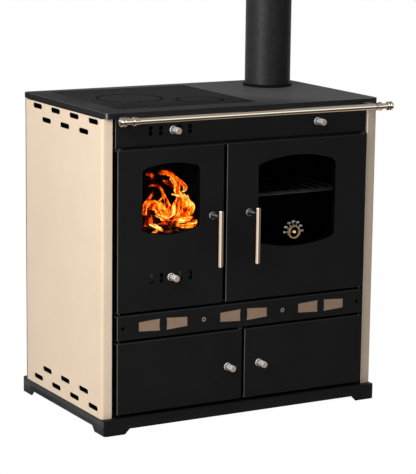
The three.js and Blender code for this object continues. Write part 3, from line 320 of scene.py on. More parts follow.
class Shell:
    """Collects one piece's faces in millimetres and turns them into a Blender object."""

    def __init__(self, name: str) -> None:
        """Starts an empty piece."""
        self.name = name
        self.mesh = bmesh.new()

    def ring(self, points: Iterable[Vector]) -> list[bmesh.types.BMVert]:
        """Adds vertices."""
        return [self.mesh.verts.new(p) for p in points]

    def bridge(self, first: Sequence[Any], second: Sequence[Any], closed: bool = True) -> None:
        """Joins two rows of vertices with a band of faces.

        Args:
            first: The vertices of one row.
            second: As many vertices of the next row.
            closed: Whether the rows run round.
        """
        count = len(first)
        for i in range(count if closed else count - 1):
            j = (i + 1) % count
            self.mesh.faces.new((first[i], first[j], second[j], second[i]))

    def skin(self, rows: Sequence[Sequence[Any]], closed: bool = True) -> None:
        """Joins each row of vertices with the next."""
        for first, second in zip(rows, rows[1:]):
            self.bridge(first, second, closed)

    def fan(self, ring: Sequence[Any], tip: Vector) -> None:
        """Closes a row that runs round with triangles to one point.

        Args:
            ring: The row's vertices.
            tip: The point.
        """
        top = self.mesh.verts.new(tip)
        for i, vert in enumerate(ring):
            self.mesh.faces.new((vert, ring[(i + 1) % len(ring)], top))

    def fill(self, rings: Sequence[Sequence[Any]]) -> None:
        """Fills the flat between an outer row and the rows of its holes.

        Args:
            rings: The rows of vertices, all in one plane.
        """
        edges = []
        for ring in rings:
            for i, vert in enumerate(ring):
                pair = (vert, ring[(i + 1) % len(ring)])
                edges.append(self.mesh.edges.get(pair) or self.mesh.edges.new(pair))
        bmesh.ops.triangle_fill(self.mesh, use_beauty=True, edges=edges)

    def plate(
        self, facing: Facing, face: float, outer: Rim, holes: Sequence[Rim] = (),
        recesses: Sequence[Rim] = (),
    ) -> Shell:
        """Adds a plate or pan.

        Args:
            facing: The way that its front looks.
            face: The level of its front.
            outer: Its outer boundary.
            holes: The boundaries of its holes.
            recesses: The boundaries of its blind recesses.

        Returns:
            This piece.
        """
        fronts, backs = [], []
        for rim in (outer, *holes, *recesses):
            rows = []
            for grow, depth in rim.stations:
                points = rim.outline.offset(grow).points
                rows.append(self.ring(facing.place(u, v, face - depth) for u, v in points))
            self.skin(rows)
            fronts.append(rows[0])
            if rim in recesses:
                self.fill([rows[-1]])
            else:
                backs.append(rows[-1])
        self.fill(fronts)
        self.fill(backs)
        return self

    def turned(self, axis: Facing, centre: Point3, profile: Sequence[Station], segments: int = 64) -> Shell:
        """Adds a turned form.

        Args:
            axis: The way that its axis runs.
            centre: The point that distances along the axis are counted from.
            profile: Pairs of radius and distance; a radius of 0 closes the form. It runs round
                to its start where neither end has radius 0.
            segments: How many sides it has.

        Returns:
            This piece.
        """
        middle = Vector(centre)
        rows = []
        for radius, along in profile:
            if radius > 0:
                spots = arc((0.0, 0.0), radius, 0, 360, segments)[:-1]
                rows.append(self.ring(middle + axis.place(u, v, along) for u, v in spots))
        self.skin(rows)
        if profile[0][0] > 0 and profile[-1][0] > 0:
            self.bridge(rows[-1], rows[0])
            return self
        self.fan(rows[0], middle + axis.place(0, 0, profile[0][1]))
        self.fan(rows[-1], middle + axis.place(0, 0, profile[-1][1]))
        return self

    def bar(self, start: Point3, end: Point3, radius: float, segments: int = 16) -> None:
        """Adds a round bar with softened ends.

        Args:
            start: One end's middle.
            end: The other end's middle.
            radius: The bar's radius.
            segments: How many sides it has.
        """
        a, b = Vector(start), Vector(end)
        way = (b - a).normalized()
        side = way.orthogonal().normalized()
        other = way.cross(side)
        soft = radius * 0.3
        stations = (
            (a, radius - soft), (a + way * soft, radius), (b - way * soft, radius), (b, radius - soft),
        )
        rows = []
        for place, r in stations:
            spots = arc((0.0, 0.0), r, 0, 360, segments)[:-1]
            rows.append(self.ring(place + side * u + other * v for u, v in spots))
        self.skin(rows)
        self.fan(rows[0], a)
        self.fan(rows[-1], b)

    def block(self, low: Point3, high: Point3, edge: float = 0.4) -> Shell:
        """Adds a box with softened edges along Y."""
        outline = Outline.rectangle(low[0], high[0], low[2], high[2], edge * 1.5, 3)
        return self.plate(Facing.FRONT, -low[1], Rim.slab(outline, edge, high[1] - low[1]))

    def make(self, crease: float = 32.0) -> bpy.types.Object:
        """Turns the collected faces into an object.

        Args:
            crease: The angle in degrees above which an edge stays sharp.

        Returns:
            The object, in metres.
        """
        bmesh.ops.recalc_face_normals(self.mesh, faces=self.mesh.faces)
        bmesh.ops.scale(self.mesh, vec=Vector((1, 1, 1)) / METRE, verts=self.mesh.verts)
        data = bpy.data.meshes.new(self.name)
        self.mesh.to_mesh(data)
        self.mesh.free()
        data.shade_smooth()
        data.set_sharp_from_angle(angle=math.radians(crease))
        made = placed(self.name, data)
        weighted = made.modifiers.new("even_normals", "WEIGHTED_NORMAL")
        weighted.keep_sharp = True
        return made


def placed(name: str, data: bpy.types.ID) -> bpy.types.Object:
    """Makes an object and links it to the scene.

    Args:
        name: The object's name.
        data: Its mesh, light or camera.

    Returns:
        The object.
    """
    made = bpy.data.objects.new(name, data)
    bpy.context.scene.collection.objects.link(made)
    return made


def thicken(made: bpy.types.Object, sheet: float) -> bpy.types.Modifier:
    """Gives a piece's faces the thickness of sheet.

    Args:
        made: The piece.
        sheet: The thickness.

    Returns:
        The modifier.
    """
    thick = made.modifiers.new("sheet", "SOLIDIFY")
    thick.thickness = sheet / METRE
    thick.offset = -1
    return thick


Socket = bpy.types.NodeSocket


class Nodes:
    """A node tree, with short calls for its nodes and links."""

    def __init__(self, tree: bpy.types.NodeTree) -> None:
        """Empties a tree."""
        self.tree = tree
        tree.nodes.clear()

    def node(self, kind: str, **settings: Any) -> bpy.types.Node:
        """Adds a node.

        Args:
            kind: Its type.
            **settings: Properties to set on it.

        Returns:
            The node.
        """
        made = self.tree.nodes.new(kind)
        for key, value in settings.items():
            setattr(made, key, value)
        return made

    def link(self, source: Socket, target: Socket) -> None:
        """Joins two sockets."""
        self.tree.links.new(source, target)

    def feed(self, target: Socket, value: Any) -> None:
        """Sets a socket, by a link where the value is a socket.

        Args:
            target: The socket.
            value: A socket, a number or a colour.
        """
        if isinstance(value, Socket):
            self.link(value, target)
        elif target.type == "RGBA" and len(value) == 3:
            target.default_value = (*value, 1.0)
        else:
            target.default_value = value

    def calc(self, operation: str, first: Any, second: Any) -> Socket:
        """Adds a math node.

        Args:
            operation: The node's operation.
            first: A number or a socket.
            second: A number or a socket.

        Returns:
            The result.
        """
        made = self.node("ShaderNodeMath", operation=operation)
        self.feed(made.inputs[0], first)
        self.feed(made.inputs[1], second)
        return made.outputs["Value"]

    def times(self, first: Any, *others: Any) -> Socket:
        """Multiplies values."""
        return functools.reduce(lambda a, b: self.calc("MULTIPLY", a, b), others, first)


class Graph(Nodes):
    """A material's nodes, with short calls for what the finishes share."""

    def __init__(self, name: str) -> None:
        """Starts a material with one shader.

        Args:
            name: The material's name.
        """
        self.material = bpy.data.materials.new(name)
        self.material.use_nodes = True
        super().__init__(self.material.node_tree)
        self.shader = self.node("ShaderNodeBsdfPrincipled")
        output = self.node("ShaderNodeOutputMaterial")
        self.link(self.shader.outputs["BSDF"], output.inputs["Surface"])
        self.coords = self.node("ShaderNodeTexCoord")

    def stretched(self, stretch: Point3) -> Socket:
        """Scales the piece's own coordinates.

        Args:
            stretch: The scale along each axis.

        Returns:
            The coordinates.
        """
        mapping = self.node("ShaderNodeMapping")
        mapping.inputs["Scale"].default_value = stretch
        self.link(self.coords.outputs["Object"], mapping.inputs["Vector"])
        return mapping.outputs["Vector"]

    def noise(
        self, size: float, detail: float = 3.0, rough: float = 0.5, stretch: Point3 = (1, 1, 1),
        place: Any = None,
    ) -> Socket:
        """Adds cloudy noise.

        Args:
            size: The size of its patches in millimetres.
            detail: How many finer layers it has.
            rough: How strong the finer layers are.
            stretch: The scale along each axis.
            place: Coordinates in metres, where they aren't the piece's own.

        Returns:
            A value from 0 to 1.
        """
        made = self.node("ShaderNodeTexNoise")
        made.inputs["Scale"].default_value = METRE / size
        made.inputs["Detail"].default_value = detail
        made.inputs["Roughness"].default_value = rough
        self.link(place or self.stretched(stretch), made.inputs["Vector"])
        return made.outputs["Fac"]

    def spread(self, value: Any, low: float, high: float, to_low: float, to_high: float) -> Any:
        """Maps a range of values to another, with a soft start and end.

        Args:
            value: The value's socket.
            low: The start of its range.
            high: The end of its range.
            to_low: What the start becomes.
            to_high: What the end becomes.

        Returns:
            The mapped value's socket.
        """
        made = self.node("ShaderNodeMapRange", interpolation_type="SMOOTHSTEP")
        for key, number in zip((1, 2, 3, 4), (low, high, to_low, to_high)):
            made.inputs[key].default_value = number
        self.link(value, made.inputs["Value"])
        return made.outputs["Result"]

    def ramp(self, value: Any, stops: Sequence[tuple[float, Colour]]) -> Socket:
        """Adds a colour ramp.

        Args:
            value: The value's socket.
            stops: Pairs of place and colour.

        Returns:
            The colour.
        """
        made = self.node("ShaderNodeValToRGB")
        slots = made.color_ramp.elements
        while len(slots) < len(stops):
            slots.new(0.5)
        for slot, (place, _) in zip(slots, stops):
            slot.position = place
        for slot, (_, colour) in zip(slots, stops):
            slot.color = (*colour, 1.0)
        self.link(value, made.inputs["Fac"])
        return made.outputs["Color"]

    def mix(self, amount: Any, first: Any, second: Any) -> Socket:
        """Mixes two colours.

        Args:
            amount: The second colour's share.
            first: The first colour.
            second: The second colour.

        Returns:
            The mixed colour.
        """
        made = self.node("ShaderNodeMix", data_type="RGBA")
        self.feed(made.inputs[0], amount)
        self.feed(made.inputs[6], first)
        self.feed(made.inputs[7], second)
        return made.outputs[2]

    def mottle(self, share: Any, colour: Colour, dark: float, light: float) -> Socket:
        """Varies a colour's brightness."""
        return self.mix(share, tinted(colour, dark), tinted(colour, light))

    def wear(self, value: Any, low: float, high: float) -> Socket:
        """Turns noise into a roughness between two levels."""
        return self.spread(value, 0.3, 0.7, low, high)

    def bump(self, height: Any, strength: float, distance: float) -> Socket:
        """Raises the surface by a height.

        Args:
            height: The height's socket.
            strength: The bump's strength.
            distance: The height of a full value in millimetres.

        Returns:
            The normal.
        """
        made = self.node("ShaderNodeBump")
        made.inputs["Strength"].default_value = strength
        made.inputs["Distance"].default_value = distance / METRE
        self.link(height, made.inputs["Height"])
        return made.outputs["Normal"]

    def normal(self, axis: int) -> Socket:
        """Gives one part of the piece's own surface normal."""
        return self.parts(self.coords.outputs["Normal"])[axis]

    def parts(self, vector: Socket) -> bpy.types.NodeOutputs:
        """Splits a vector into X, Y and Z."""
        split = self.node("ShaderNodeSeparateXYZ")
        self.link(vector, split.inputs["Vector"])
        return split.outputs

    def layer(self, name: str) -> tuple[Socket, Socket]:
        """Gives the two values of one of the piece's own UV layers."""
        parts = self.parts(self.node("ShaderNodeUVMap", uv_map=name).outputs["UV"])
        return parts["X"], parts["Y"]

    def reach(self, fade: Fade) -> Socket:
        """Gives a fade's share, which grows along a direction of the piece.

        Args:
            fade: The fade.

        Returns:
            The share, from 0 to 1.
        """
        dot = self.node("ShaderNodeVectorMath", operation="DOT_PRODUCT")
        self.link(self.coords.outputs["Object"], dot.inputs[0])
        dot.inputs[1].default_value = fade.way
        return self.spread(dot.outputs["Value"], fade.start / METRE, fade.end / METRE, 0.0, 1.0)

    def near(self, value: Any, target: float, reach: float, height: float) -> Socket:
        """Raises a soft ridge where a value meets a target."""
        away = self.calc("ABSOLUTE", self.calc("SUBTRACT", value, target), 0.0)
        return self.spread(away, 0.0, reach, height, 0.0)

    def settle(self, **values: Any) -> None:
        """Feeds the shader's sockets."""
        for key, value in values.items():
            self.feed(self.shader.inputs[key.replace("_", " ")], value)


def tinted(colour: Colour, share: float) -> Colour:
    """Brightens or darkens a colour."""
    return tuple(min(1.0, part * share) for part in colour)


def grey(level: float, blue: float = 0.001) -> Colour:
    """Gives a grey with a little blue in it."""
    return (level, level, level + blue)


@dataclass(frozen=True)
class Fade:
    """A colour that takes over along a direction, between two distances in millimetres."""

    way: Point3
    start: float
    end: float
    colour: Colour


@dataclass(frozen=True)
class Finish:
    """A surface finish. Its material is made once."""

    name: str
    slot: str

    def build(self, graph: Graph) -> None:
        """Fills the finish's nodes."""
        raise NotImplementedError

    def material(self) -> bpy.types.Material:
        """Makes the finish's material, or finds it.

        Returns:
            The material.
        """
        known = bpy.data.materials.get(self.name)
        if known is not None:
            return known
        graph = Graph(self.name)
        self.build(graph)
        return graph.material


@dataclass(frozen=True)
class Paint(Finish):
    """Sprayed paint or enamel on sheet, a little uneven, with optional painted light and shade: tones for
    front and side faces, painted highlights on bends and ledges, and painted fades.
    """

    colour: Colour
    roughness: float = 0.4
    gloss: float = 0.5
    uneven: float = 0.06
    peel: float = 0.05
    metal: float = 0.0
    front: Colour | None = None
    flank: Colour | None = None
    bend: Colour | None = None
    bend_way: int = -1
    bend_span: tuple[float, ...] = (0.25, 0.55, 0.85, 0.95)
    ledge: Colour | None = None
    far: Fade | None = None
    inward: Fade | None = None

    def build(self, graph: Graph) -> None:
        """Fills the paint's nodes.

        Args:
            graph: The material's nodes.
        """
        cloud = graph.spread(graph.noise(180, 3, 0.6), 0.3, 0.7, 0, 1)
        tone = graph.mottle(cloud, self.colour, 1 - self.uneven, 1 + self.uneven)
        # Painted light: a fade along one direction that stands in for a sheen or a lit band.
        if self.far:
            tone = graph.mix(graph.reach(self.far), tone, self.far.colour)
        # Painted shade on faces that look to the front.
        if self.front:
            tone = graph.mix(graph.spread(graph.normal(1), -0.98, -0.8, 1, 0), tone, self.front)
        # Painted light and shade: faces that look to either side take a tone of their own, lighter or darker
        # as the light falls on them.
        if self.flank:
            share = graph.spread(graph.calc("ABSOLUTE", graph.normal(0), 0.0), 0.93, 0.98, 0, 1)
            tone = graph.mix(share, tone, self.flank)
        turn = graph.times(graph.normal(0), float(self.bend_way))
        # Painted highlight on rounded bends, picked by how far the normal turns along X.
        if self.bend:
            rise, full, fall, done = self.bend_span
            share = graph.times(graph.spread(turn, rise, full, 0, 1), graph.spread(turn, fall, done, 1, 0))
            tone = graph.mix(share, tone, self.bend)
        # Painted shadow on the flange's return, faded in along a direction.
        if self.inward:
            share = graph.times(graph.spread(turn, 0.9, 0.98, 0, 1), graph.reach(self.inward))
            tone = graph.mix(share, tone, self.inward.colour)
        # Painted highlight on bends that lean upwards.
        if self.ledge:
            lean = graph.normal(2)
            share = graph.times(graph.spread(lean, 0.2, 0.6, 0, 1), graph.spread(lean, 0.9, 0.97, 1, 0))
            tone = graph.mix(share, tone, self.ledge)
        rough = graph.wear(graph.noise(26, 4), self.roughness - 0.05, self.roughness + 0.05)
        peel = graph.bump(graph.noise(2.2, 2), self.peel, 0.25)
        graph.settle(Base_Color=tone, Roughness=rough, Normal=peel, Specular_IOR_Level=self.gloss)
        if self.metal > 0:
            graph.settle(Metallic=self.metal, Specular_Tint=EDGE_TINT)


@dataclass(frozen=True)
class Iron(Finish):
    """Cast or ground iron, with grain, streaks where it is ground, dirt in its round joints, and an optional
    painted sheen along a direction.
    """

    colour: Colour
    roughness: float = 0.6
    gloss: float = 0.3
    grain: float = 0.3
    streaks: float = 0.0
    metal: float = 0.0
    joints: tuple[Point3, ...] = ()
    far: Fade | None = None

    def build(self, graph: Graph) -> None:
        """Fills the iron's nodes.

        Args:
            graph: The material's nodes.
        """
        tone = graph.mottle(graph.spread(graph.noise(45, 5, 0.6), 0.3, 0.72, 0, 1), self.colour, 0.8, 1.25)
        # Painted sheen: a fade along one direction that brightens the iron.
        if self.far:
            tone = graph.mix(graph.reach(self.far), tone, self.far.colour)
        if self.streaks > 0:
            rubbed = graph.noise(60, 6, 0.65, (0.35, 2.2, 1.0))
            share = graph.spread(rubbed, 0.48, 0.72, 0, self.streaks)
            tone = graph.mix(share, tone, tinted(self.colour, 2.2))
        for x, y, radius in self.joints:
            tone = graph.mix(self.joint(graph, x, y, radius), tone, (0.003, 0.003, 0.003))
        rough = graph.wear(graph.noise(18, 4), self.roughness - 0.07, self.roughness + 0.07)
        cast = graph.bump(graph.noise(1.6, 4, 0.65), self.grain, 0.4)
        graph.settle(Base_Color=tone, Roughness=rough, Normal=cast, Specular_IOR_Level=self.gloss)
        graph.settle(Metallic=self.metal, Specular_Tint=EDGE_TINT)

    def joint(self, graph: Graph, x: float, y: float, radius: float) -> Socket:
        """Gives the share of dirt in a round joint between two castings.

        Args:
            graph: The material's nodes.
            x: The joint's middle in X.
            y: The joint's middle in Y.
            radius: The joint's radius.

        Returns:
            The share.
        """
        flat = graph.node("ShaderNodeVectorMath", operation="MULTIPLY")
        flat.inputs[1].default_value = (1.0, 1.0, 0.0)
        graph.link(graph.coords.outputs["Object"], flat.inputs[0])
        place = graph.node("ShaderNodeVectorMath", operation="DISTANCE")
        graph.link(flat.outputs["Vector"], place.inputs[0])
        place.inputs[1].default_value = (x / METRE, y / METRE, 0.0)
        return graph.near(place.outputs["Value"], radius / METRE, 0.008, 0.9)


@dataclass(frozen=True)
class Polished(Finish):
    """Polished metal or satin paint whose colour holds painted reflections and highlights, ramped round the
    form by the normal.
    """

    axis: int
    bands: tuple[tuple[float, Colour], ...]
    roughness: float = 0.2
    metal: float = 1.0
    haze: float = 0.06
    face: Colour | None = None

    def build(self, graph: Graph) -> None:
        """Fills the metal's nodes.

        Args:
            graph: The material's nodes.
        """
        # Painted reflections and highlights: the colour follows one axis of the normal.
        turn = graph.calc("MULTIPLY_ADD", graph.normal(self.axis), 0.5)
        turn.node.inputs[2].default_value = 0.5
        tone = graph.ramp(turn, self.bands)
        # Painted reflection on faces that look to the front.
        if self.face:
            tone = graph.mix(graph.spread(graph.normal(1), -0.95, -0.75, 1, 0), tone, self.face)
        cloud = graph.spread(graph.noise(9, 5), 0.35, 0.7, 0, self.haze)
        dull = graph.mix(cloud, tone, (0.3, 0.25, 0.2) if self.metal else (0.0, 0.0, 0.0))
        rough = graph.wear(graph.noise(14, 4), self.roughness - 0.04, self.roughness + 0.06)
        scuffs = graph.bump(graph.noise(5, 3), 0.06, 0.1)
        gloss = 0.5 if self.metal else 0.03
        graph.settle(Base_Color=dull, Roughness=rough, Normal=scuffs)
        graph.settle(Metallic=self.metal, Specular_IOR_Level=gloss)


@dataclass(frozen=True)
class Sheet(Finish):
    """Bare sheet steel, lightly brushed."""

    colour: Colour
    roughness: float = 0.4
    metal: float = 0.9

    def build(self, graph: Graph) -> None:
        """Fills the steel's nodes.

        Args:
            graph: The material's nodes.
        """
        brushed = graph.noise(30, 5, 0.6, (0.3, 3.0, 3.0))
        tone = graph.mottle(brushed, self.colour, 0.8, 1.2)
        rough = graph.wear(brushed, self.roughness - 0.08, self.roughness + 0.08)
        lines = graph.bump(graph.noise(3, 3, 0.5, (0.05, 1, 1)), 0.06, 0.1)
        graph.settle(Base_Color=tone, Roughness=rough, Metallic=self.metal, Normal=lines)


@dataclass(frozen=True)
class Pane(Finish):
    """Dark heat-proof glass: see-through, with a faint film of soot."""

    tint: Colour = (0.001, 0.001, 0.001)
    cover: float = 0.2
    gloss: float = 0.02

    def build(self, graph: Graph) -> None:
        """Fills the glass's nodes.

        Args:
            graph: The material's nodes.
        """
        film = graph.noise(55, 4, 0.6)
        cover = graph.spread(film, 0.35, 0.8, self.cover, min(1.0, self.cover + 0.08))
        tone = graph.mottle(film, self.tint, 1.0, 1.6)
        graph.settle(Base_Color=tone, Roughness=0.08, Alpha=cover, Specular_IOR_Level=self.gloss)
        graph.material.surface_render_method = "BLENDED"


@dataclass(frozen=True)
class Woven(Finish):
    """Woven sealing rope."""

    colour: Colour = (0.25, 0.24, 0.22)

    def build(self, graph: Graph) -> None:
        """Fills the rope's nodes.

        Args:
            graph: The material's nodes.
        """
        weave = graph.node("ShaderNodeTexWave", bands_direction="DIAGONAL")
        weave.inputs["Scale"].default_value = 150
        weave.inputs["Distortion"].default_value = 1.5
        graph.link(graph.coords.outputs["Object"], weave.inputs["Vector"])
        tone = graph.mottle(weave.outputs["Fac"], self.colour, 0.55, 1.2)
        soot = graph.spread(graph.noise(30, 4), 0.45, 0.75, 0, 0.6)
        tone = graph.mix(soot, tone, (0.05, 0.045, 0.04))
        ridges = graph.bump(weave.outputs["Fac"], 0.7, 0.8)
        graph.settle(Base_Color=tone, Roughness=0.95, Normal=ridges, Sheen_Weight=0.2)


@dataclass(frozen=True)
class Brick(Finish):
    """Rough fireclay, blackened by smoke in patches."""

    colour: Colour = (0.1, 0.075, 0.055)

    def build(self, graph: Graph) -> None:
        """Fills the fireclay's nodes.

        Args:
            graph: The material's nodes.
        """
        tone = graph.mottle(graph.noise(24, 6, 0.65), self.colour, 0.7, 1.2)
        smoke = graph.spread(graph.noise(90, 5, 0.6), 0.34, 0.6, 0.75, 1.0)
        tone = graph.mix(smoke, tone, (0.006, 0.005, 0.005))
        pits = graph.bump(graph.noise(3.5, 6, 0.7), 0.6, 0.9)
        graph.settle(Base_Color=tone, Roughness=0.95, Normal=pits, Specular_IOR_Level=0.0)


@dataclass(frozen=True)
class Charred(Finish):
    """Burning wood: black bark that glows in its cracks, more so near the ember bed."""

    hot_level: float = 500.0
    reach: float = 45.0
    glow: float = 6.0

    def build(self, graph: Graph) -> None:
        """Fills the wood's nodes.

        Args:
            graph: The material's nodes.
        """
        bark = graph.noise(14, 6, 0.65, (0.35, 1, 1.6))
        tone = graph.ramp(
            bark, ((0.3, (0.002, 0.002, 0.002)), (0.6, (0.01, 0.006, 0.004)), (0.8, (0.03, 0.024, 0.02))),
        )
        cracks = graph.node("ShaderNodeTexVoronoi", feature="DISTANCE_TO_EDGE")
        cracks.inputs["Scale"].default_value = 110
        graph.link(graph.stretched((0.4, 1, 1)), cracks.inputs["Vector"])
        line = graph.spread(cracks.outputs["Distance"], 0.0, 0.1, 1, 0)
        height = graph.parts(graph.coords.outputs["Object"])["Z"]
        top, foot = (self.hot_level + self.reach) / METRE, self.hot_level / METRE
        low = graph.spread(height, foot, top, 1.0, 0.06)
        patch = graph.spread(graph.noise(22, 4), 0.38, 0.66, 0.0, 1.0)
        heat = graph.times(line, low, patch)
        hue = graph.ramp(heat, ((0.0, (0, 0, 0)), (0.35, (0.75, 0.06, 0.0)), (1.0, (1.0, 0.34, 0.04))))
        crust = graph.bump(bark, 0.8, 2.0)
        graph.settle(Base_Color=tone, Roughness=0.9, Specular_IOR_Level=0.0, Normal=crust)
        graph.settle(Emission_Color=hue, Emission_Strength=self.glow)


@dataclass(frozen=True)
class Flame(Finish):
    """Flame, drawn from each sheet's own width, length and heat: red skin, orange body, gold threads."""

    strength: float = 2.3

    def build(self, graph: Graph) -> None:
        """Fills the flame's nodes.

        Args:
            graph: The material's nodes.
        """
        across, along = graph.layer("flow")
        heat, _ = graph.layer("heat")
        ragged = graph.calc("SUBTRACT", graph.noise(13, 3, 0.55, (1.4, 1.0, 0.6)), 0.5)
        moved = graph.calc("ADD", across, graph.times(ragged, 1.25))
        distance = graph.calc("ABSOLUTE", moved, 0.0)
        flow = graph.node("ShaderNodeCombineXYZ")
        for socket, value, scale in ((0, moved, 1.0), (1, along, 1.6), (2, heat, 9.0)):
            graph.link(graph.times(value, scale), flow.inputs[socket])
        threads = graph.noise(560, 2, 0.5, place=flow.outputs["Vector"])
        body = graph.spread(distance, 0.5, 0.9, 1.0, 0.0)
        lick = graph.spread(graph.noise(16, 4, 0.6, (1.3, 1.0, 0.6)), 0.36, 0.62, 0.12, 0.62)
        strand = graph.spread(threads, 0.42, 0.6, 0.0, 0.3)
        inner = graph.calc("ADD", graph.calc("ADD", lick, strand), graph.near(threads, 0.5, 0.022, 0.3))
        edge = graph.near(distance, 0.6, 0.14, 0.42)
        cooling = graph.spread(along, 0.3, 1.0, 1.04, 0.6)
        level = graph.times(heat, cooling, graph.calc("ADD", graph.times(body, inner), edge))
        ends = graph.times(
            graph.spread(along, 0.8, 1.0, 1.0, 0.0), graph.spread(along, 0.0, 0.08, 0.0, 1.0),
        )
        cover = graph.times(body, ends, graph.spread(level, 0.1, 0.36, 0, 1))
        graph.settle(Base_Color=(0.0, 0.0, 0.0), Roughness=1.0, Specular_IOR_Level=0.0, Alpha=cover)
        graph.settle(Emission_Color=graph.ramp(level, GLOW), Emission_Strength=self.strength)
        graph.material.surface_render_method = "BLENDED"


GLOW = (
    (0.0, (0.0, 0.0, 0.0)), (0.14, (0.05, 0.001, 0.0)), (0.3, (0.42, 0.012, 0.0)),
    (0.45, (0.95, 0.06, 0.0)), (0.62, (1.0, 0.2, 0.002)), (0.8, (1.0, 0.5, 0.02)), (1.0, (1.0, 0.85, 0.25)),
)
FASCIA_FOOT = 753.0
EDGE_TINT = grey(0.05, 0)
WHITE = (1.0, 1.0, 1.0)
WARM_WHITE = (0.9, 0.87, 0.8)
TAN = (0.33, 0.24, 0.16)
BROWN = (0.11, 0.075, 0.04)
# A dark brown that the polished finishes use for painted dark reflections.
PAINTED_DARK_REFLECTION = (0.02, 0.014, 0.01)
BRASS = (0.36, 0.23, 0.105)

# Cream enamel with a painted highlight on the bends of its flanges.
CREAM = Paint(
    "cream_enamel", "cream_paint", (0.87, 0.69, 0.51), 0.42, 0.3, 0.02, 0.03, bend=(0.95, 0.82, 0.66),
    bend_way=1,
)
# The right sheet's cream: the same enamel, with painted shade on its front flange, a painted highlight on
# its bends and a painted shadow on its return below the fascia.
CREAM_PAINTED_SHADE_RIGHT = Paint(
    "cream_enamel_right_painted_shade", "cream_paint", (0.87, 0.69, 0.51), 0.42, 0.3, 0.02, 0.03,
    front=(0.58, 0.46, 0.35), bend=(1.0, 0.86, 0.7), bend_span=(0.15, 0.35, 0.85, 0.95),
    inward=Fade((0, 0, -1), -FASCIA_FOOT - 5, -FASCIA_FOOT + 5, (0.03, 0.025, 0.02)),
)
# Satin black paint, with painted shade on its side faces, a painted highlight on its rounded edges and a
# painted highlight on its upward bends.
BLACK = Paint(
    "satin_black", "black_paint", grey(0.011, 0), 0.42, 0.03, 0.1, 0.05, flank=grey(0.0015, 0),
    bend=(0.13, 0.13, 0.128), ledge=grey(0.035, 0),
)
# The top plate's paint, with painted shade on its front edge, painted light and shade on its side edges, a
# painted highlight on its rounded corners and a painted sheen that brightens it towards the right and the
# rear.
PLATE = Paint(
    "top_plate_black", "hob_iron", grey(0.07), 0.38, 0.0, 0.16, 0.05, 0.5, front=grey(0.022),
    flank=grey(0.05), bend=(0.34, 0.34, 0.33), bend_span=(0.6, 0.68, 0.76, 0.84),
    far=Fade((1, 1, 0), -200, 150, grey(0.18, 0)),
)
# The front frame's paint, near black, with a painted lit band from 744 to 750 mm up, above the upper doors.
FRAME = Paint(
    "front_frame_black", "black_paint", grey(0.0015, 0), 0.6, 0.0, 0.2, 0.05,
    far=Fade((0, 0, 1), 744, 750, grey(0.03, 0)),
)
# The plinth's black paint, with painted light on its side faces.
PLINTH = Paint("plinth_black", "black_paint", grey(0.011, 0), 0.38, 0.03, 0.12, 0.05, flank=grey(0.045))
DARK = Paint("dark_sheet_paint", "dark_sheet", grey(0.0015, 0), 0.6, 0.0, 0.2, 0.05)
# The strip's inlays: the cream enamel darkened as painted shade.
INLAY_CREAM_PAINTED_SHADE = Paint("inlay_cream_painted_shade", "tan_paint", (0.32, 0.215, 0.15), 0.45, 0.1, 0.05, 0.05)
RED = Paint("pointer_red_paint", "pointer_red", (0.7, 0.02, 0.012), 0.35, 0.1, 0.05, 0.02)
PRINT = Paint("dial_print", "chrome", (0.95, 0.92, 0.88), 0.5, 0.1, 0.02, 0.02)
# The cooking plates' iron, dark in its round joints, with a painted sheen that brightens it towards the
# rear.
HOB = Iron(
    "ground_iron", "hob_iron", grey(0.028), 0.42, 0.0, 0.12, 0.3, 0.5, ((-212, 54, 88), (-50, -46, 62.5)),
    Fade((0, 1, 0), -130, 40, grey(0.046)),
)
RAW_IRON = Iron("raw_cast_iron", "raw_iron", (0.01, 0.0095, 0.0095), 0.7, 0.02, 0.5)
INNER = Sheet("inner_sheet_steel", "inner_steel", (0.2, 0.2, 0.21), 0.42)
RACK = Sheet("rack_wire", "chrome", (0.16, 0.155, 0.15), 0.45, 0.3)
GLASS = Pane("fire_window_glass", "window_glass")
OVEN_GLASS = Pane("oven_window_glass", "window_glass", grey(0.0004, 0), 0.3, 0.0)
ROPE = Woven("sealing_rope", "rope")
CLAY = Brick("smoked_fireclay", "firebrick")
BARK = Charred("burning_wood", "firebrick", 488.0, 60.0, 0.6)
EMBERS = Charred("ember_bed", "firebrick", 520.0, 40.0, 0.9)
FIRE = Flame("flame", "pointer_red")
# The flue's paint: a painted highlight left of the pipe's middle, and painted shade towards its right.
FLUE = Polished(
    "flue_black", "flue_paint", 0,
    (
        (0.0, grey(0.036)), (0.05, grey(0.05)), (0.12, grey(0.085)), (0.17, grey(0.06)),
        (0.26, grey(0.032)), (0.5, grey(0.021)), (0.7, grey(0.014)), (1.0, grey(0.011)),
    ),
    0.4, 0.0, 0.2,
)
# The rail's plating: its bands round the tube are painted reflections, with a painted highlight along the
# middle.
RAIL_TUBE = Polished(
    "rail_plate", "copper_ring", 2,
    (
        (0.0, (0.01, 0.007, 0.005)), (0.07, (0.02, 0.012, 0.008)), (0.11, (0.52, 0.34, 0.23)),
        (0.2, (0.46, 0.3, 0.2)), (0.26, (0.06, 0.045, 0.028)), (0.51, (0.08, 0.05, 0.02)),
        (0.56, (1.0, 1.0, 0.92)), (0.67, (1.0, 1.0, 0.92)), (0.71, (0.27, 0.24, 0.2)),
        (0.82, (0.3, 0.2, 0.12)), (0.92, (0.45, 0.32, 0.2)), (0.97, (0.12, 0.11, 0.1)),
        (1.0, (0.1, 0.095, 0.085)),
    ),
    0.1,
)
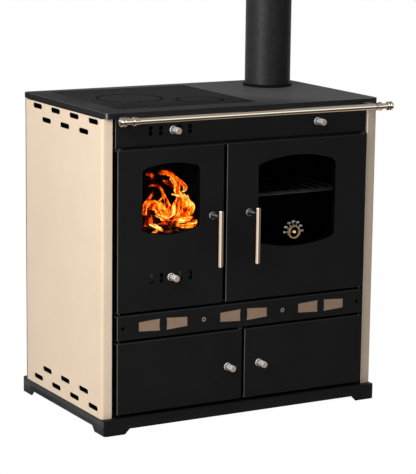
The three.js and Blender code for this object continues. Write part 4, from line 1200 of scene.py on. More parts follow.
# The finials' and brackets' plating, in painted reflections and a painted highlight.
FINIAL = Polished(
    "finial_plate", "copper_ring", 2,
    (
        (0.0, PAINTED_DARK_REFLECTION), (0.1, (0.62, 0.44, 0.3)), (0.26, TAN), (0.38, PAINTED_DARK_REFLECTION), (0.5, BROWN), (0.57, WARM_WHITE),
        (0.62, WARM_WHITE), (0.67, BROWN), (0.86, (0.45, 0.33, 0.22)), (0.94, PAINTED_DARK_REFLECTION), (1.0, PAINTED_DARK_REFLECTION),
    ),
    0.14,
)
# The copper grips, in painted reflections with a painted highlight stripe.
GRIP = Polished(
    "grip_copper", "copper_grip", 0,
    (
        (0.0, (0.24, 0.11, 0.09)), (0.015, (0.3, 0.15, 0.11)), (0.035, (0.75, 0.48, 0.34)),
        (0.2, (0.68, 0.52, 0.37)), (0.25, (1.0, 0.88, 0.78)), (0.33, (1.0, 0.88, 0.78)),
        (0.37, (0.16, 0.105, 0.075)), (0.7, (0.15, 0.11, 0.075)), (0.78, PAINTED_DARK_REFLECTION),
        (1.0, (0.005, 0.003, 0.002)),
    ),
    0.1,
)
# The knobs' chrome: painted reflections round the barrel and a painted reflection on the face.
KNOB = Polished(
    "knob_chrome", "chrome", 2,
    (
        (0.0, PAINTED_DARK_REFLECTION), (0.1, (0.3, 0.25, 0.2)), (0.26, (0.06, 0.05, 0.04)), (0.36, (0.75, 0.68, 0.6)),
        (0.5, (0.2, 0.17, 0.15)), (0.56, (0.95, 0.92, 0.88)), (0.7, (0.95, 0.92, 0.88)),
        (0.76, (0.16, 0.14, 0.12)), (0.84, (0.9, 0.87, 0.84)), (1.0, (0.9, 0.88, 0.85)),
    ),
    0.3, 0.1, face=(0.42, 0.32, 0.25),
)
# The rosettes' chrome: a painted highlight round the rim and a painted dark reflection on the face.
ROSETTE = Polished(
    "rosette_chrome", "chrome", 2, ((0.0, TAN), (0.4, WARM_WHITE), (1.0, WARM_WHITE)), 0.3, 0.1, face=PAINTED_DARK_REFLECTION,
)
# Satin gunmetal with painted highlights along its edges and a dark painted reflection on its front faces.
GUNMETAL = Polished(
    "gunmetal_satin", "gunmetal", 2,
    (
        (0.0, (0.1, 0.1, 0.105)), (0.12, grey(0.015)), (0.7, grey(0.02)), (0.85, (0.3, 0.3, 0.31)),
        (0.93, (0.34, 0.34, 0.35)), (1.0, (0.1, 0.1, 0.105)),
    ),
    0.25, 0.2, face=(0.03, 0.029, 0.03),
)
# The lever roses' steel, in painted reflections, dark on the front face.
ROSE = Polished(
    "lever_rose_steel", "gunmetal", 2,
    ((0.0, grey(0.03)), (0.3, (0.25, 0.25, 0.26)), (0.6, (0.5, 0.5, 0.52)), (1.0, (0.4, 0.4, 0.42))), 0.3,
    0.2, face=grey(0.012, 0),
)
# The dial ring's brass, with a painted highlight on its lower edge.
RING = Polished(
    "dial_ring_brass", "copper_ring", 2, ((0.0, (0.75, 0.6, 0.42)), (0.4, BRASS), (1.0, BRASS)), 0.25, 0.5,
    face=BRASS,
)
# The dial hub's chrome, in painted reflections.
HUB = Polished("dial_hub_chrome", "chrome", 2, ((0.0, TAN), (1.0, WARM_WHITE)), 0.25, 0.5, face=WARM_WHITE)


@dataclass
class Workshop:
    """Puts pieces into the scene, gives them a finish and reports them."""

    nodes: dict[str, bpy.types.Object]
    made: list[str] = field(default_factory=list)

    def add(
        self, shell: Shell | bpy.types.Object, body: str, finish: Finish, replaces: Sequence[str] = (),
        crease: float = 32.0,
    ) -> bpy.types.Object:
        """Adds a new piece.

        Args:
            shell: The piece's faces, or a finished object.
            body: The CAD body that it rides on.
            finish: Its finish.
            replaces: The CAD nodes that it stands for.
            crease: The angle in degrees above which an edge stays sharp.

        Returns:
            The piece's object.
        """
        made = shell.make(crease) if isinstance(shell, Shell) else shell
        made.data.materials.clear()
        made.data.materials.append(finish.material())
        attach(made, body)
        if replaces:
            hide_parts(*replaces)
        self.made.append(made.name)
        LOG.info("%s rides on %s, finish %s", made.name, body, finish.name)
        return made

    def pan(self, name: str, body: str, node: str, holes: Sequence[Rim]) -> None:
        """Adds a folded pan that stands for a CAD panel.

        Args:
            name: The piece's name.
            body: The CAD body that it rides on.
            node: The panel's node.
            holes: The holes in its face.
        """
        box = Box.of(node)
        outline = Outline.rectangle(box.low.x, box.high.x, box.low.z, box.high.z, PAN_CORNER)
        rim = Rim.pan(outline, PAN_EDGE, PAN_SHEET, box.high.y - box.low.y)
        self.add(Shell(name).plate(Facing.FRONT, -box.low.y, rim, holes), body, BLACK, [node])

    def keep(self, finish: Finish, *names: str) -> None:
        """Gives kept CAD nodes a finish.

        Args:
            finish: The finish.
            *names: The nodes' names.
        """
        for name in names:
            node = self.nodes[name]
            node.data.materials.clear()
            node.data.materials.append(finish.material())
            LOG.info("%s kept, finish %s", name, finish.name)


PAN_EDGE = 2.4
PAN_CORNER = 4.0
PAN_SHEET = 2.0


def drilled(u: float, v: float, radius: float, steps: int, edge: float = BURR) -> Rim:
    """Makes a round hole in a pan's sheet, with a softened edge."""
    return Rim.hole(Outline.circle(u, v, radius, steps), edge, PAN_SHEET)


@dataclass
class Slots:
    """Narrow upright air slots in two halves, and the slot that a knob's stem travels in."""

    offsets: tuple[float, ...] = (-58.0, -28.0, 28.0, 58.0)
    width: float = 10.5
    height: float = 11.5
    bridge: float = 2.0
    travel: float = 8.0
    stem: float = 3.6

    def rims(self, u: float, v: float) -> list[Rim]:
        """Lists the holes of a row.

        Args:
            u: The row's middle in u.
            v: The row's middle in v.

        Returns:
            The holes.
        """
        rims = []
        for offset in self.offsets:
            left, right = u + offset - self.width / 2, u + offset + self.width / 2
            for low in (v + self.bridge / 2, v - self.bridge / 2 - self.height):
                outline = Outline.rectangle(left, right, low, low + self.height, 0.8, 3)
                rims.append(Rim.hole(outline, 0.0, PAN_SHEET))
        outline = Outline.slot(u + self.travel / 2, v, self.travel + 2 * self.stem, 2 * self.stem)
        rims.append(Rim.hole(outline, 0.0, PAN_SHEET))
        return rims


@dataclass
class Casing:
    """The plinth, the outer sheets and what stands behind them."""

    work: Workshop
    bend: float = 8.0
    sheet: float = 2.0
    flange: float = 31.0
    inner_bend: float = 2.5
    rear_flange: float = 26.0
    setback: float = 11.0
    slot_length: float = 56.0
    slot_height: float = 14.0
    slot_pitch: float = 114.0
    slot_middle: float = 20.0
    slot_rows: tuple[tuple[float, int], ...] = ((823, 4), (790.5, 3), (97.5, 3), (65, 4))
    foot: float = 60.0
    slope: float = 14.0
    notch: float = 14.0
    ledge: float = 70.0
    plinth_edge: float = 1.6
    plinth_sheet: float = 3.0

    def build(self) -> None:
        """Builds the casing."""
        self.plinth()
        for side in Side:
            self.side_panel(side)
        self.work.keep(DARK, "back_panel", "inner_casing")
        self.work.keep(FRAME, "front_frame")
        self.work.keep(INNER, "door_catch")

    def plinth(self) -> None:
        """Builds the folded base frame with its feet."""
        box = Box.of("plinth")
        low, high = (self.foot - self.bend, 0.0), (self.foot - self.bend + self.slope, self.notch)
        points: list[Point3] = []
        corners = Outline.plan(box, self.bend, 6).points
        for here, after in zip(corners, corners[1:] + corners[:1]):
            points.append((*here, 0.0))
            run = Vector(after) - Vector(here)
            if run.length < 2 * self.foot:
                continue
            way = run.normalized()
            spots = [(Vector(here) + way * start, height) for start, height in (low, high)]
            spots += [(Vector(after) - way * start, height) for start, height in (high, low)]
            points += [(spot.x, spot.y, height) for spot, height in spots]
        flat = Outline(tuple((x, y) for x, y, _ in points))
        shell = Shell("plinth_frame")
        rows = [shell.ring(Vector(p) for p in points)]
        for grow, depth in reversed(rounding(self.plinth_edge, -1)):
            ring = flat.offset(grow).points
            rows.append(shell.ring(Vector((x, y, box.high.z - depth)) for x, y in ring))
        x0, x1 = box.low.x + self.ledge, box.high.x - self.ledge
        y0, y1 = box.low.y + self.ledge, box.high.y - self.ledge
        well = ((min(max(x, x0), x1), min(max(y, y0), y1)) for x, y in flat.points)
        rows.append(shell.ring(Vector((x, y, box.high.z)) for x, y in well))
        shell.skin(rows)
        bmesh.ops.recalc_face_normals(shell.mesh, faces=shell.mesh.faces)
        made = shell.make(28)
        thicken(made, self.plinth_sheet)
        self.work.add(made, "stove", PLINTH, ["plinth"])

    def side_panel(self, side: Side) -> None:
        """Builds one side sheet: its slotted face, front flange with its return, and rear flange.

        Args:
            side: Which side.
        """
        node = f"side_panel_{side.word}"
        box, s = Box.of(node), side.value
        edge = box.high.x if s > 0 else box.low.x
        y0, y1, z0, z1 = box.low.y, box.high.y, box.low.z, box.high.z
        bend, inner = self.bend, self.inner_bend
        lip = edge - s * self.flange
        front = [(lip, y0 + self.setback)]
        front += arc((lip + s * inner, y0 + inner), inner, 90 + 90 * s, 90 + 180 * s, 4)
        front += arc((edge - s * bend, y0 + bend), bend, -90, -90 + 90 * s, 6)
        rear = arc((edge - s * bend, y1 - bend), bend, 90 - 90 * s, 90, 6)
        rear.append((edge - s * self.rear_flange, y1))
        shell = Shell(f"side_sheet_{side.word}")
        strips = []
        for run in (front, rear):
            strips.append([shell.ring(Vector((x, y, z)) for x, y in run) for z in (z0, z1)])
            shell.skin(strips[-1], False)
        corners = [strips[0][0][-1], strips[1][0][0], strips[1][1][0], strips[0][1][-1]]
        loops = [corners]
        for z, count in self.slot_rows:
            for i in range(count):
                y = self.slot_middle + (i - (count - 1) / 2) * self.slot_pitch
                outline = Outline.slot(y, z, self.slot_length, self.slot_height)
                loops.append(shell.ring(Vector((edge, a, b)) for a, b in outline.points))
        shell.fill(loops)
        bmesh.ops.recalc_face_normals(shell.mesh, faces=shell.mesh.faces)
        wall = max(shell.mesh.faces, key=lambda face: face.calc_center_median().x * s)
        turned_in = wall.normal.x * s < 0
        made = shell.make(40)
        if turned_in:
            made.data.flip_normals()
        thicken(made, self.sheet).use_even_offset = True
        made.modifiers.move(1, 0)
        # The right sheet takes the cream with painted shade on its front.
        self.work.add(made, "stove", CREAM if side is Side.LEFT else CREAM_PAINTED_SHADE_RIGHT, [node])


@dataclass
class Front:
    """The fascia under the hob and the strip between the doors, with its inlays and screws."""

    work: Workshop
    slots: Slots = field(default_factory=Slots)
    rod_hole: float = 5.0
    inlay_pitch: float = 245.0
    inlay_split: float = 19.0
    inlay_length: float = 63.0
    inlay_tall: float = 16.25
    inlay_short: float = 12.5
    inlay_bow: float = 1.6
    stud_radius: float = 6.5
    screw_radius: float = 5.5
    screw_inset: float = 17.0

    def build(self) -> None:
        """Builds the fascia and the strip."""
        self.fascia()
        self.strip()
        self.screws()
        # The inlays take the cream darkened as painted shade.
        self.work.keep(INLAY_CREAM_PAINTED_SHADE, "mid_strip_inlay")
        self.work.keep(DARK, "top_air_shutter")

    def fascia(self) -> None:
        """Builds the fascia with its air slots and the hole for the damper's rod."""
        knob, rod = Box.of("top_air_knob").middle, Box.of("damper_rod").middle
        holes = self.slots.rims(knob.x - self.slots.travel, knob.z)
        holes.append(drilled(rod.x, rod.z, self.rod_hole, 24))
        self.work.pan("fascia", "stove", "fascia_panel", holes)

    def strip(self) -> None:
        """Builds the strip with the holes that its inlays fill."""
        box = Box.of("mid_strip")
        level, holes = box.middle.z, []
        for pair in (-self.inlay_pitch, 0.0, self.inlay_pitch):
            for way in (-1, 1):
                near = pair + way * self.inlay_split / 2
                far = near + way * self.inlay_length
                sides = self.inlay_tall, self.inlay_short, self.inlay_bow
                holes.append(Rim.hole(Outline.inlay(near, far, level, *sides), BURR, PAN_SHEET))
        for x in (-self.inlay_pitch / 2, self.inlay_pitch / 2):
            holes.append(drilled(x, level, self.stud_radius, 32))
        holes += [drilled(x, level, self.screw_radius, 24, 0.0) for x in self.screw_places(box)]
        self.work.pan("strip", "stove", "mid_strip", holes)

    def screw_places(self, box: Box) -> tuple[float, float]:
        """Gives the strip screws' places in X."""
        return box.low.x + self.screw_inset, box.high.x - self.screw_inset

    def screws(self) -> None:
        """Builds the socket screws at the strip's ends."""
        box = Box.of("mid_strip")
        shell = Shell("strip_screws")
        profile = [(0, -9), (2.6, -9), (2.6, -6), (4.6, -6), (4.8, -5.4), (4.8, -3.4), (4.3, -2.8)]
        profile += [(2.2, -2.8), (2.2, -4.6), (0, -4.6)]
        for x in self.screw_places(box):
            shell.turned(Facing.FRONT, (x, box.low.y, box.middle.z), profile, 32)
        front = Box.of("mid_strip_inlay").low.y
        for x in (-self.inlay_pitch / 2, self.inlay_pitch / 2):
            pin = [(0, 0.02), (2.4, 0.02), (2.4, 0.3), (0, 0.5)]
            shell.turned(Facing.FRONT, (x, front, box.middle.z), pin, 24)
        self.work.add(shell, "stove", DARK)


@dataclass
class Hob:
    """The top plate with its cooking plates and lift-off discs."""

    work: Workshop
    corner: float = 10.0
    edge: float = 1.6
    hob: tuple[float, ...] = (-350.0, 65.0, -154.0, 256.0)
    ledge: float = 8.0
    ledge_depth: float = 8.0
    flue_hole: float = 67.0
    gap: float = 0.6
    lip: float = 4.0
    step: float = 6.0
    lifter: Point3 = (22.0, 9.0, 2.5)
    lifter_inset: float = 16.0

    def build(self) -> None:
        """Builds the hob."""
        self.top_plate()
        discs = {"large": Box.of("hob_disc_large"), "small": Box.of("hob_disc_small")}
        self.cooking_plate("left", discs["large"])
        self.cooking_plate("right", discs["small"])
        for word, box in discs.items():
            self.disc(word, box)

    def top_plate(self) -> None:
        """Builds the rounded top plate with its stepped hob opening and flue hole."""
        box, flue = Box.of("top_plate"), Box.of("flue_pipe").middle
        thickness = box.high.z - box.low.z
        outline = Outline.plan(box, self.corner, 10)
        opening = Outline.rectangle(*self.hob, 1.5, 3)
        holes = [
            Rim.stepped(opening, 0.6, self.ledge_depth, self.ledge, thickness),
            Rim.hole(Outline.circle(flue.x, flue.y, self.flue_hole, 72), 0.5, thickness),
        ]
        shell = Shell("top_slab").plate(
            Facing.UP, box.high.z, Rim.slab(outline, self.edge, thickness), holes,
        )
        self.work.add(shell, "stove", PLATE, ["top_plate"])

    def cooking_plate(self, word: str, disc: Box) -> None:
        """Builds one cooking plate with the stepped hole for its disc.

        Args:
            word: left or right.
            disc: The disc's extent.
        """
        node = f"hob_plate_{word}"
        box, middle = Box.of(node), disc.middle
        radius = (disc.high.x - disc.low.x) / 2 + self.gap
        thickness = box.high.z - box.low.z
        seat = Outline.circle(middle.x, middle.y, radius, 96)
        hole = Rim.stepped(seat, 0.5, self.lip, self.step, thickness)
        rim = Rim.slab(Outline.plan(box, 1.0, 3), 0.7, thickness)
        shell = Shell(f"cooking_plate_{word}").plate(Facing.UP, box.high.z, rim, [hole])
        self.work.add(shell, "stove", HOB, [node])

    def disc(self, word: str, box: Box) -> None:
        """Builds one lift-off disc: a lip, a boss below it and a pocket for the lifter.

        Args:
            word: large or small.
            box: The disc's extent.
        """
        middle, radius = box.middle, (box.high.x - box.low.x) / 2
        depth = box.high.z - box.low.z
        length, width, sink = self.lifter
        stations = rounding(0.5, -1) + [(0.0, self.lip), (-self.step, self.lip)]
        stations += [(-self.step, depth - 0.5), (-self.step - 0.5, depth)]
        rim = Rim(Outline.circle(middle.x, middle.y, radius, 96), tuple(stations))
        pocket = Outline.slot(middle.x, middle.y - radius + self.lifter_inset, length, width)
        shell = Shell(f"lift_disc_{word}")
        shell.plate(Facing.UP, box.high.z, rim, [], [Rim.hole(pocket, 0.4, sink)])
        self.work.add(shell, f"hob_disc_{word}", HOB, [f"hob_disc_{word}"])


@dataclass
class Flue:
    """The flue collar and the pipe on it."""

    work: Workshop
    sheet: float = 1.5

    def build(self) -> None:
        """Builds the flue."""
        self.pipe()
        self.collar()

    def pipe(self) -> None:
        """Builds the pipe with its softened rims."""
        box = Box.of("flue_pipe")
        radius = (box.high.x - box.low.x) / 2
        low, high = box.low.z, box.high.z
        inner = radius - self.sheet
        profile = [(inner, low), (radius - 0.2, low), (radius, low + 0.4)]
        profile += [(radius, low + 40 * i) for i in range(1, 12)]
        profile += [(radius, high - 0.6), (radius - 0.4, high), (inner + 0.3, high), (inner, high - 0.4)]
        shell = Shell("pipe").turned(Facing.UP, (box.middle.x, box.middle.y, 0), profile, 128)
        self.work.add(shell, "stove", FLUE, ["flue_pipe"])

    def collar(self) -> None:
        """Builds the collar that the pipe stands on."""
        box, plate = Box.of("flue_collar"), Box.of("top_plate")
        outer = (box.high.x - box.low.x) / 2
        top, shoulder = plate.high.z, Box.of("flue_pipe").low.z
        pipe_radius = (Box.of("flue_pipe").high.x - Box.of("flue_pipe").low.x) / 2
        spigot = pipe_radius - self.sheet - 0.3
        bore = spigot - 3
        profile = [
            (bore, box.low.z), (outer - 3.6, box.low.z), (outer - 3.6, top + 0.02),
            (outer - 0.4, top + 0.02), (outer, top + 0.5), (outer, shoulder - 2.4),
            (outer - 0.7, shoulder - 0.8), (outer - 2.2, shoulder), (spigot, shoulder),
            (spigot, box.high.z), (bore, box.high.z),
        ]
        shell = Shell("collar").turned(Facing.UP, (box.middle.x, box.middle.y, 0), profile, 128)
        self.work.add(shell, "stove", RAW_IRON, ["flue_collar"])


@dataclass
class Rail:
    """The towel rail in front of the top plate: tube, finials and brackets."""

    work: Workshop
    radius: float = 8.0
    sheet: float = 1.2
    finial: float = 12.0
    bracket_x: float = 371.0
    arm_width: float = 22.0
    arm_height: float = 8.0

    def build(self) -> None:
        """Builds the rail."""
        tube = Box.of("rail_tube")
        place = (0.0, tube.middle.y, tube.middle.z)
        bore = self.radius - self.sheet
        half = tube.high.x
        profile = [(bore, -half), (self.radius, -half), (self.radius, half), (bore, half)]
        shell = Shell("rail").turned(Facing.RIGHT, place, profile)
        self.work.add(shell, "stove", RAIL_TUBE, ["rail_tube"])
        for side in Side:
            self.end(side, half, place)
            self.bracket(side, place)

    def end(self, side: Side, half: float, place: Point3) -> None:
        """Builds the turned finial at one end of the tube.

        Args:
            side: Which end.
            half: Half the tube's length.
            place: The middle of the rail.
        """
        plug, r, f = self.radius - self.sheet - 0.3, self.radius, self.finial
        profile = [(0, -10), (plug, -10), (plug, 0), (r, 0.02), (r, 3)]
        profile += arc((f - 2.6, 6.2), 2.6, -90, 90, 8)
        profile += [(r + 0.8, 9.4), (r + 0.8, 10.2), (f - 0.9, 11.2), (f - 0.2, 12.4), (f, 13.8), (f, 15.6)]
        profile += [(f - 0.5, 17.4), (f - 1.6, 18.9), (f - 3.4, 20.1), (f - 5.5, 20.8), (f - 8, 21), (0, 21)]
        profile = [(radius, half + along) for radius, along in profile]
        shell = Shell(f"finial_{side.word}").turned(side.facing, place, profile)
        self.work.add(shell, "stove", FINIAL, [f"rail_finial_{side.word}"], 50)

    def bracket(self, side: Side, place: Point3) -> None:
        """Builds one bracket: a bell round the tube and an arm back to the plate.

        Args:
            side: Which bracket.
            place: The middle of the rail.
        """
        node = f"rail_bracket_{side.word}"
        box, r = Box.of(node), self.radius
        centre = (side.value * self.bracket_x, place[1], place[2])
        bore = r + 0.3
        profile = [(bore, -12), (r + 1.4, -12), (r + 1.9, -8), (r + 2.6, -4), (self.finial - 0.6, -2)]
        profile += [(self.finial, -0.8), (self.finial, 3.4), (self.finial - 0.6, 4.8)]
        profile += [(self.finial - 1.6, 5.5), (bore, 5.5)]
        shell = Shell(f"bracket_{side.word}").turned(side.facing, centre, profile)
        self.work.add(shell, "stove", FINIAL, [node], 50)
        plate = Box.of("top_plate")
        under, front = plate.low.z, plate.low.y
        rise, y, z = self.arm_height / 2, place[1] + r + 2, place[2]
        outline = Outline(
            (
                (y, z - rise), (front - 5, under - rise), (front + 4, under - self.arm_height),
                (box.high.y, under - self.arm_height), (box.high.y, under), (front - 0.4, under),
                (front - 7, z + rise), (y, z + rise),
            )
        )
        arm = Shell(f"bracket_arm_{side.word}")
        level = centre[0] + self.arm_width / 2
        arm.plate(Facing.RIGHT, level, Rim.slab(outline, 1.0, self.arm_width))
        self.work.add(arm, "stove", GUNMETAL)


@dataclass
class Knob:
    """A turned knob on a rosette."""

    work: Workshop
    length: float = 34.0
    radius: float = 9.0
    head: float = 24.0
    neck: float = 6.5
    rosette: float = 10.5
    rosette_height: float = 4.0
    stem: float = 3.0

    def head_profile(self) -> list[Station]:
        """Lists the stations of the head, from the neck to the closed front."""
        length, r = self.length, self.radius
        back = length - self.head
        return [
            (self.neck, back - 1.5), (r - 1.6, back), (r - 0.4, back + 1.2), (r, back + 2.6),
            (r, length - 3.0), (r - 0.3, length - 1.6), (r - 1.1, length - 0.5), (r - 2.4, length - 0.02),
            (r - 2.8, length - 0.3), (0, length - 0.3),
        ]

    def build(self, node: str, body: str) -> None:
        """Builds the knob that stands for a CAD node.

        Args:
            node: The node's name.
            body: The CAD body that it rides on.
        """
        box = Box.of(node)
        face = box.low.y + self.length
        back = box.high.y - face
        rise, r = self.rosette_height, self.rosette
        profile = [(0, -back), (5.5, -back), (5.5, -back + 3), (self.stem, -back + 3)]
        profile += [(self.stem, 0.3), (self.neck, rise - 0.5), *self.head_profile()]
        place = (box.middle.x, face, box.middle.z)
        shell = Shell(f"turned_{node}").turned(Facing.FRONT, place, profile)
        self.work.add(shell, body, KNOB, [node], 40)
        profile = [(self.neck, 0.3), (r - 0.3, 0.3), (r, 0.7), (r, rise - 1.6), (r - 0.5, rise - 0.5)]
        profile += [(r - 1.5, rise + 0.2), (self.neck + 0.8, rise + 0.3), (self.neck, rise)]
        shell = Shell(f"rosette_{node}").turned(Facing.FRONT, place, profile)
        self.work.add(shell, body, ROSETTE, (), 40)

    def build_pull(self) -> None:
        """Builds the damper's pull: its knob and the guide on the fascia."""
        box, guide = Box.of("damper_knob"), Box.of("damper_guide")
        face = box.low.y + self.length
        place = (box.middle.x, face, box.middle.z)
        bore, rise, r = 4.3, self.rosette_height, self.rosette
        blind = self.length - self.head / 2 + 0.3
        neck = self.neck + 1
        profile = [(0, blind), (bore, blind), (bore, rise + 2), (neck, rise + 2)]
        profile += [(neck, self.length - self.head - 1.5), *self.head_profile()[1:]]
        shell = Shell("turned_damper_knob").turned(Facing.FRONT, place, profile)
        self.work.add(shell, "damper", KNOB, ["damper_knob"], 40)
        profile = [
            (bore, 0.0), (r, 0.0), (r, rise - 1.6), (r - 0.5, rise - 0.5), (r - 1.5, rise), (bore, rise),
        ]
        place = (guide.middle.x, guide.high.y, guide.middle.z)
        shell = Shell("turned_damper_guide").turned(Facing.FRONT, place, profile)
        self.work.add(shell, "stove", ROSETTE, ["damper_guide"], 40)


@dataclass
class Lever:
    """A door's lever: an upright grip on a spindle that turns in a rose."""

    work: Workshop
    radius: float = 8.0
    spindle: float = 6.0
    boss: float = 9.5
    boss_depth: float = 8.0
    tongue: Point3 = (12.0, 6.0, 30.0)

    def build(self, door: str) -> None:
        """Builds one lever.

        Args:
            door: fire or oven.
        """
        body = f"{door}_handle"
        grip, spindle = Box.of(f"{door}_handle_grip"), Box.of(f"{door}_handle_spindle")
        x, y = grip.middle.x, grip.middle.y
        low, high, r = grip.low.z, grip.high.z, self.radius
        profile = [(0, low), (r - 2.6, low), (r - 1.2, low + 0.5), (r - 0.3, low + 1.6), (r, low + 3)]
        profile += [(r, low + 10), (r, high - 10), (r, high - 3), (r - 0.3, high - 1.6)]
        profile += [(r - 1.2, high - 0.5), (r - 2.6, high), (0, high)]
        shell = Shell(f"{door}_lever_grip").turned(Facing.UP, (x, y, 0), profile)
        self.work.add(shell, body, GRIP, [f"{door}_handle_grip"], 40)
        face = Box.of(f"{door}_door_panel").low.y
        z = spindle.high.z - self.tongue[2]
        reach = face - y
        back = spindle.high.y - face
        inner = self.boss - 1.2
        profile = [(0, -back), (self.spindle, -back), (self.spindle, 0.3), (inner, 0.3)]
        profile += [(inner, 3), (self.spindle + 1, 3.4)]
        collar = self.spindle + 1.2
        profile += [(self.spindle, 4.4), (self.spindle, reach - r - 3)]
        profile += [(collar, reach - r - 0.5), (collar, reach - 2), (0, reach - 2)]
        spin = Shell(f"{door}_lever_spindle").turned(Facing.FRONT, (x, face, z), profile, 48)
        width, thick, length = self.tongue
        spin.block(
            (x - width / 2, spindle.high.y - thick - 0.02, z - 0.02),
            (x + width / 2, spindle.high.y, z + length), 0.6,
        )
        self.work.add(spin, body, GUNMETAL, [f"{door}_handle_spindle"], 40)
        rim, depth = self.boss + 0.8, self.boss_depth
        profile = [
            (inner + 0.1, 0.3), (rim - 0.3, 0.3), (rim, 0.8), (rim, depth - 3.2), (rim - 0.6, depth - 2.4),
        ]
        profile += [(inner + 0.5, depth - 2.2), (inner + 0.1, depth - 2.6)]
        rose = Shell(f"{door}_lever_rose").turned(Facing.FRONT, (x, face, z), profile, 48)
        self.work.add(rose, body, ROSE, (), 40)


@dataclass
class Thermometer:
    """The oven thermometer: a ring on the glass, a pointer, and numbers printed round it."""

    work: Workshop
    radius: float = 18.0
    wall: float = 3.5
    numbers: tuple[int, ...] = (50, 100, 150, 200, 250, 300, 350)
    number_radius: float = 27.5
    number_height: float = 7.2
    tick_radius: tuple[float, float] = (7.0, 22.5)

    def build(self) -> None:
        """Builds the thermometer."""
        box, glass = Box.of("thermometer_case"), Box.of("oven_door_glass")
        middle = (box.middle.x, glass.low.y, box.middle.z)
        depth = glass.low.y - box.low.y
        r, inner = self.radius, self.radius - self.wall
        profile = [(0, 2), (inner, 2), (inner, depth - 1.6), (inner + 0.5, depth - 0.5)]
        profile += [(inner + 1.3, depth), (r - 1.3, depth), (r - 0.4, depth - 0.5), (r, depth - 1.4)]
        profile += [(r, 0.35), (0, 0.35)]
        shell = Shell("dial_ring").turned(Facing.FRONT, middle, profile, 96)
        self.work.add(shell, "oven_door", RING, ["thermometer_case"], 40)
        dial = Shell("dial_face").turned(
            Facing.FRONT, middle, [(0, 2.02), (inner - 0.1, 2.02), (inner - 0.1, 2.3), (0, 2.3)], 96,
        )
        self.work.add(dial, "oven_door", DARK)
        self.pointer(middle, depth)
        self.print(middle)

    def pointer(self, middle: Point3, depth: float) -> None:
        """Builds the hub and its needle.

        Args:
            middle: The dial's middle on the glass.
            depth: How far the ring stands out.
        """
        x, y, z = middle
        hub = Shell("dial_nut")
        profile = [(0, 2.4), (3.9, 2.4), (3.9, depth - 1.6), (3.2, depth - 1.0), (0, depth - 1.0)]
        hub.turned(Facing.FRONT, middle, profile, 32)
        hub.block((x - 12, y - depth + 2.0, z - 0.8), (x, y - depth + 3.2, z + 0.8), 0.2)
        self.work.add(hub, "thermometer_pointer", HUB, ["thermometer_pointer"], 40)
        tip = Shell("dial_needle_tip")
        tip.block((x - 12.6, y - depth + 1.7, z - 1.0), (x - 6.5, y - depth + 2.02, z + 1.0), 0.1)
        self.work.add(tip, "thermometer_pointer", RED)

    def print(self, middle: Point3) -> None:
        """Builds the numbers and the ticks on the glass.

        Args:
            middle: The dial's middle on the glass.
        """
        x, y, z = middle
        last = len(self.numbers) - 1
        ticks = Shell("dial_ticks")
        for i, number in enumerate(self.numbers):
            angle = math.radians(180 - 180 * i / last)
            way = Vector((math.cos(angle), math.sin(angle)))
            side = Vector((-way.y, way.x)) * 0.45
            a, b = way * self.tick_radius[0], way * self.tick_radius[1]
            corners = (a - side, b - side, b + side, a + side)
            outline = Outline(tuple((x + p.x, z + p.y) for p in corners))
            ticks.plate(Facing.FRONT, -y + 0.12, Rim.slab(outline, 0.02, 0.1))
            spot = way * self.number_radius
            self.number(number, (x + spot.x, y - 0.03, z + spot.y))
        self.work.add(ticks, "oven_door", PRINT)

    def number(self, number: int, place: Point3) -> None:
        """Builds one printed number.

        Args:
            number: The number.
            place: Its middle on the glass.
        """
        curve = bpy.data.curves.new(f"dial_number_{number}_text", "FONT")
        curve.body = str(number)
        curve.size = self.number_height / METRE
        curve.align_x, curve.align_y = "CENTER", "CENTER"
        curve.extrude = 0.05 / METRE
        text = placed(curve.name, curve)
        bpy.context.view_layer.update()
        data = bpy.data.meshes.new_from_object(text)
        data.name = f"dial_number_{number}"
        bpy.data.objects.remove(text)
        data.transform(Matrix.Rotation(math.pi / 2, 4, "X"))
        data.transform(Matrix.Translation(Vector(place) / METRE))
        self.work.add(placed(data.name, data), "oven_door", PRINT)


@dataclass
class UpperDoor:
    """A glazed door: folded panel, glass, inner frame, gasket and hinge rod."""

    work: Workshop
    name: str
    window: tuple[float, ...]
    drop: float
    glass: Finish
    slots: Slots | None = None
    spindle_hole: float = 6.3

    def build(self) -> None:
        """Builds the door."""
        box = Box.of(f"{self.name}_panel")
        margin, bottom, top, rise = self.window
        left, right, foot = box.low.x + margin, box.high.x - margin, box.low.z + bottom
        outline = Outline.window(left, right, foot, box.high.z - top - rise, rise, self.drop)
        handle = self.name.replace("door", "handle")
        x, z = Box.of(f"{handle}_grip").middle.x, Box.of(f"{handle}_spindle").high.z - Lever.tongue[2]
        holes = [Rim.hole(outline, 0.8, PAN_SHEET), drilled(x, z, self.spindle_hole, 32)]
        if self.slots:
            knob = Box.of("fire_air_knob").middle
            holes += self.slots.rims(knob.x, knob.z)
        self.work.pan(f"{self.name}_skin", self.name, f"{self.name}_panel", holes)
        self.work.keep(self.glass, f"{self.name}_glass")
        self.work.keep(RAW_IRON, f"{self.name}_inner_frame")
        self.work.keep(ROPE, f"{self.name}_gasket")
        self.work.keep(INNER, f"{self.name}_hinge_rod")


@dataclass
class LowerDoor:
    """A door of the wood store: folded panel, knob and hinge rod."""

    work: Workshop
    side: Side
    knob_hole: float = 3.3

    def build(self) -> None:
        """Builds the door."""
        name = f"lower_{self.side.word}_door"
        knob = Box.of(f"{name}_knob").middle
        holes = [drilled(knob.x, knob.z, self.knob_hole, 24)]
        self.work.pan(f"{name}_skin", name, f"{name}_panel", holes)
        self.work.keep(INNER, f"{name}_hinge_rod")
        Knob(self.work).build(f"{name}_knob", name)


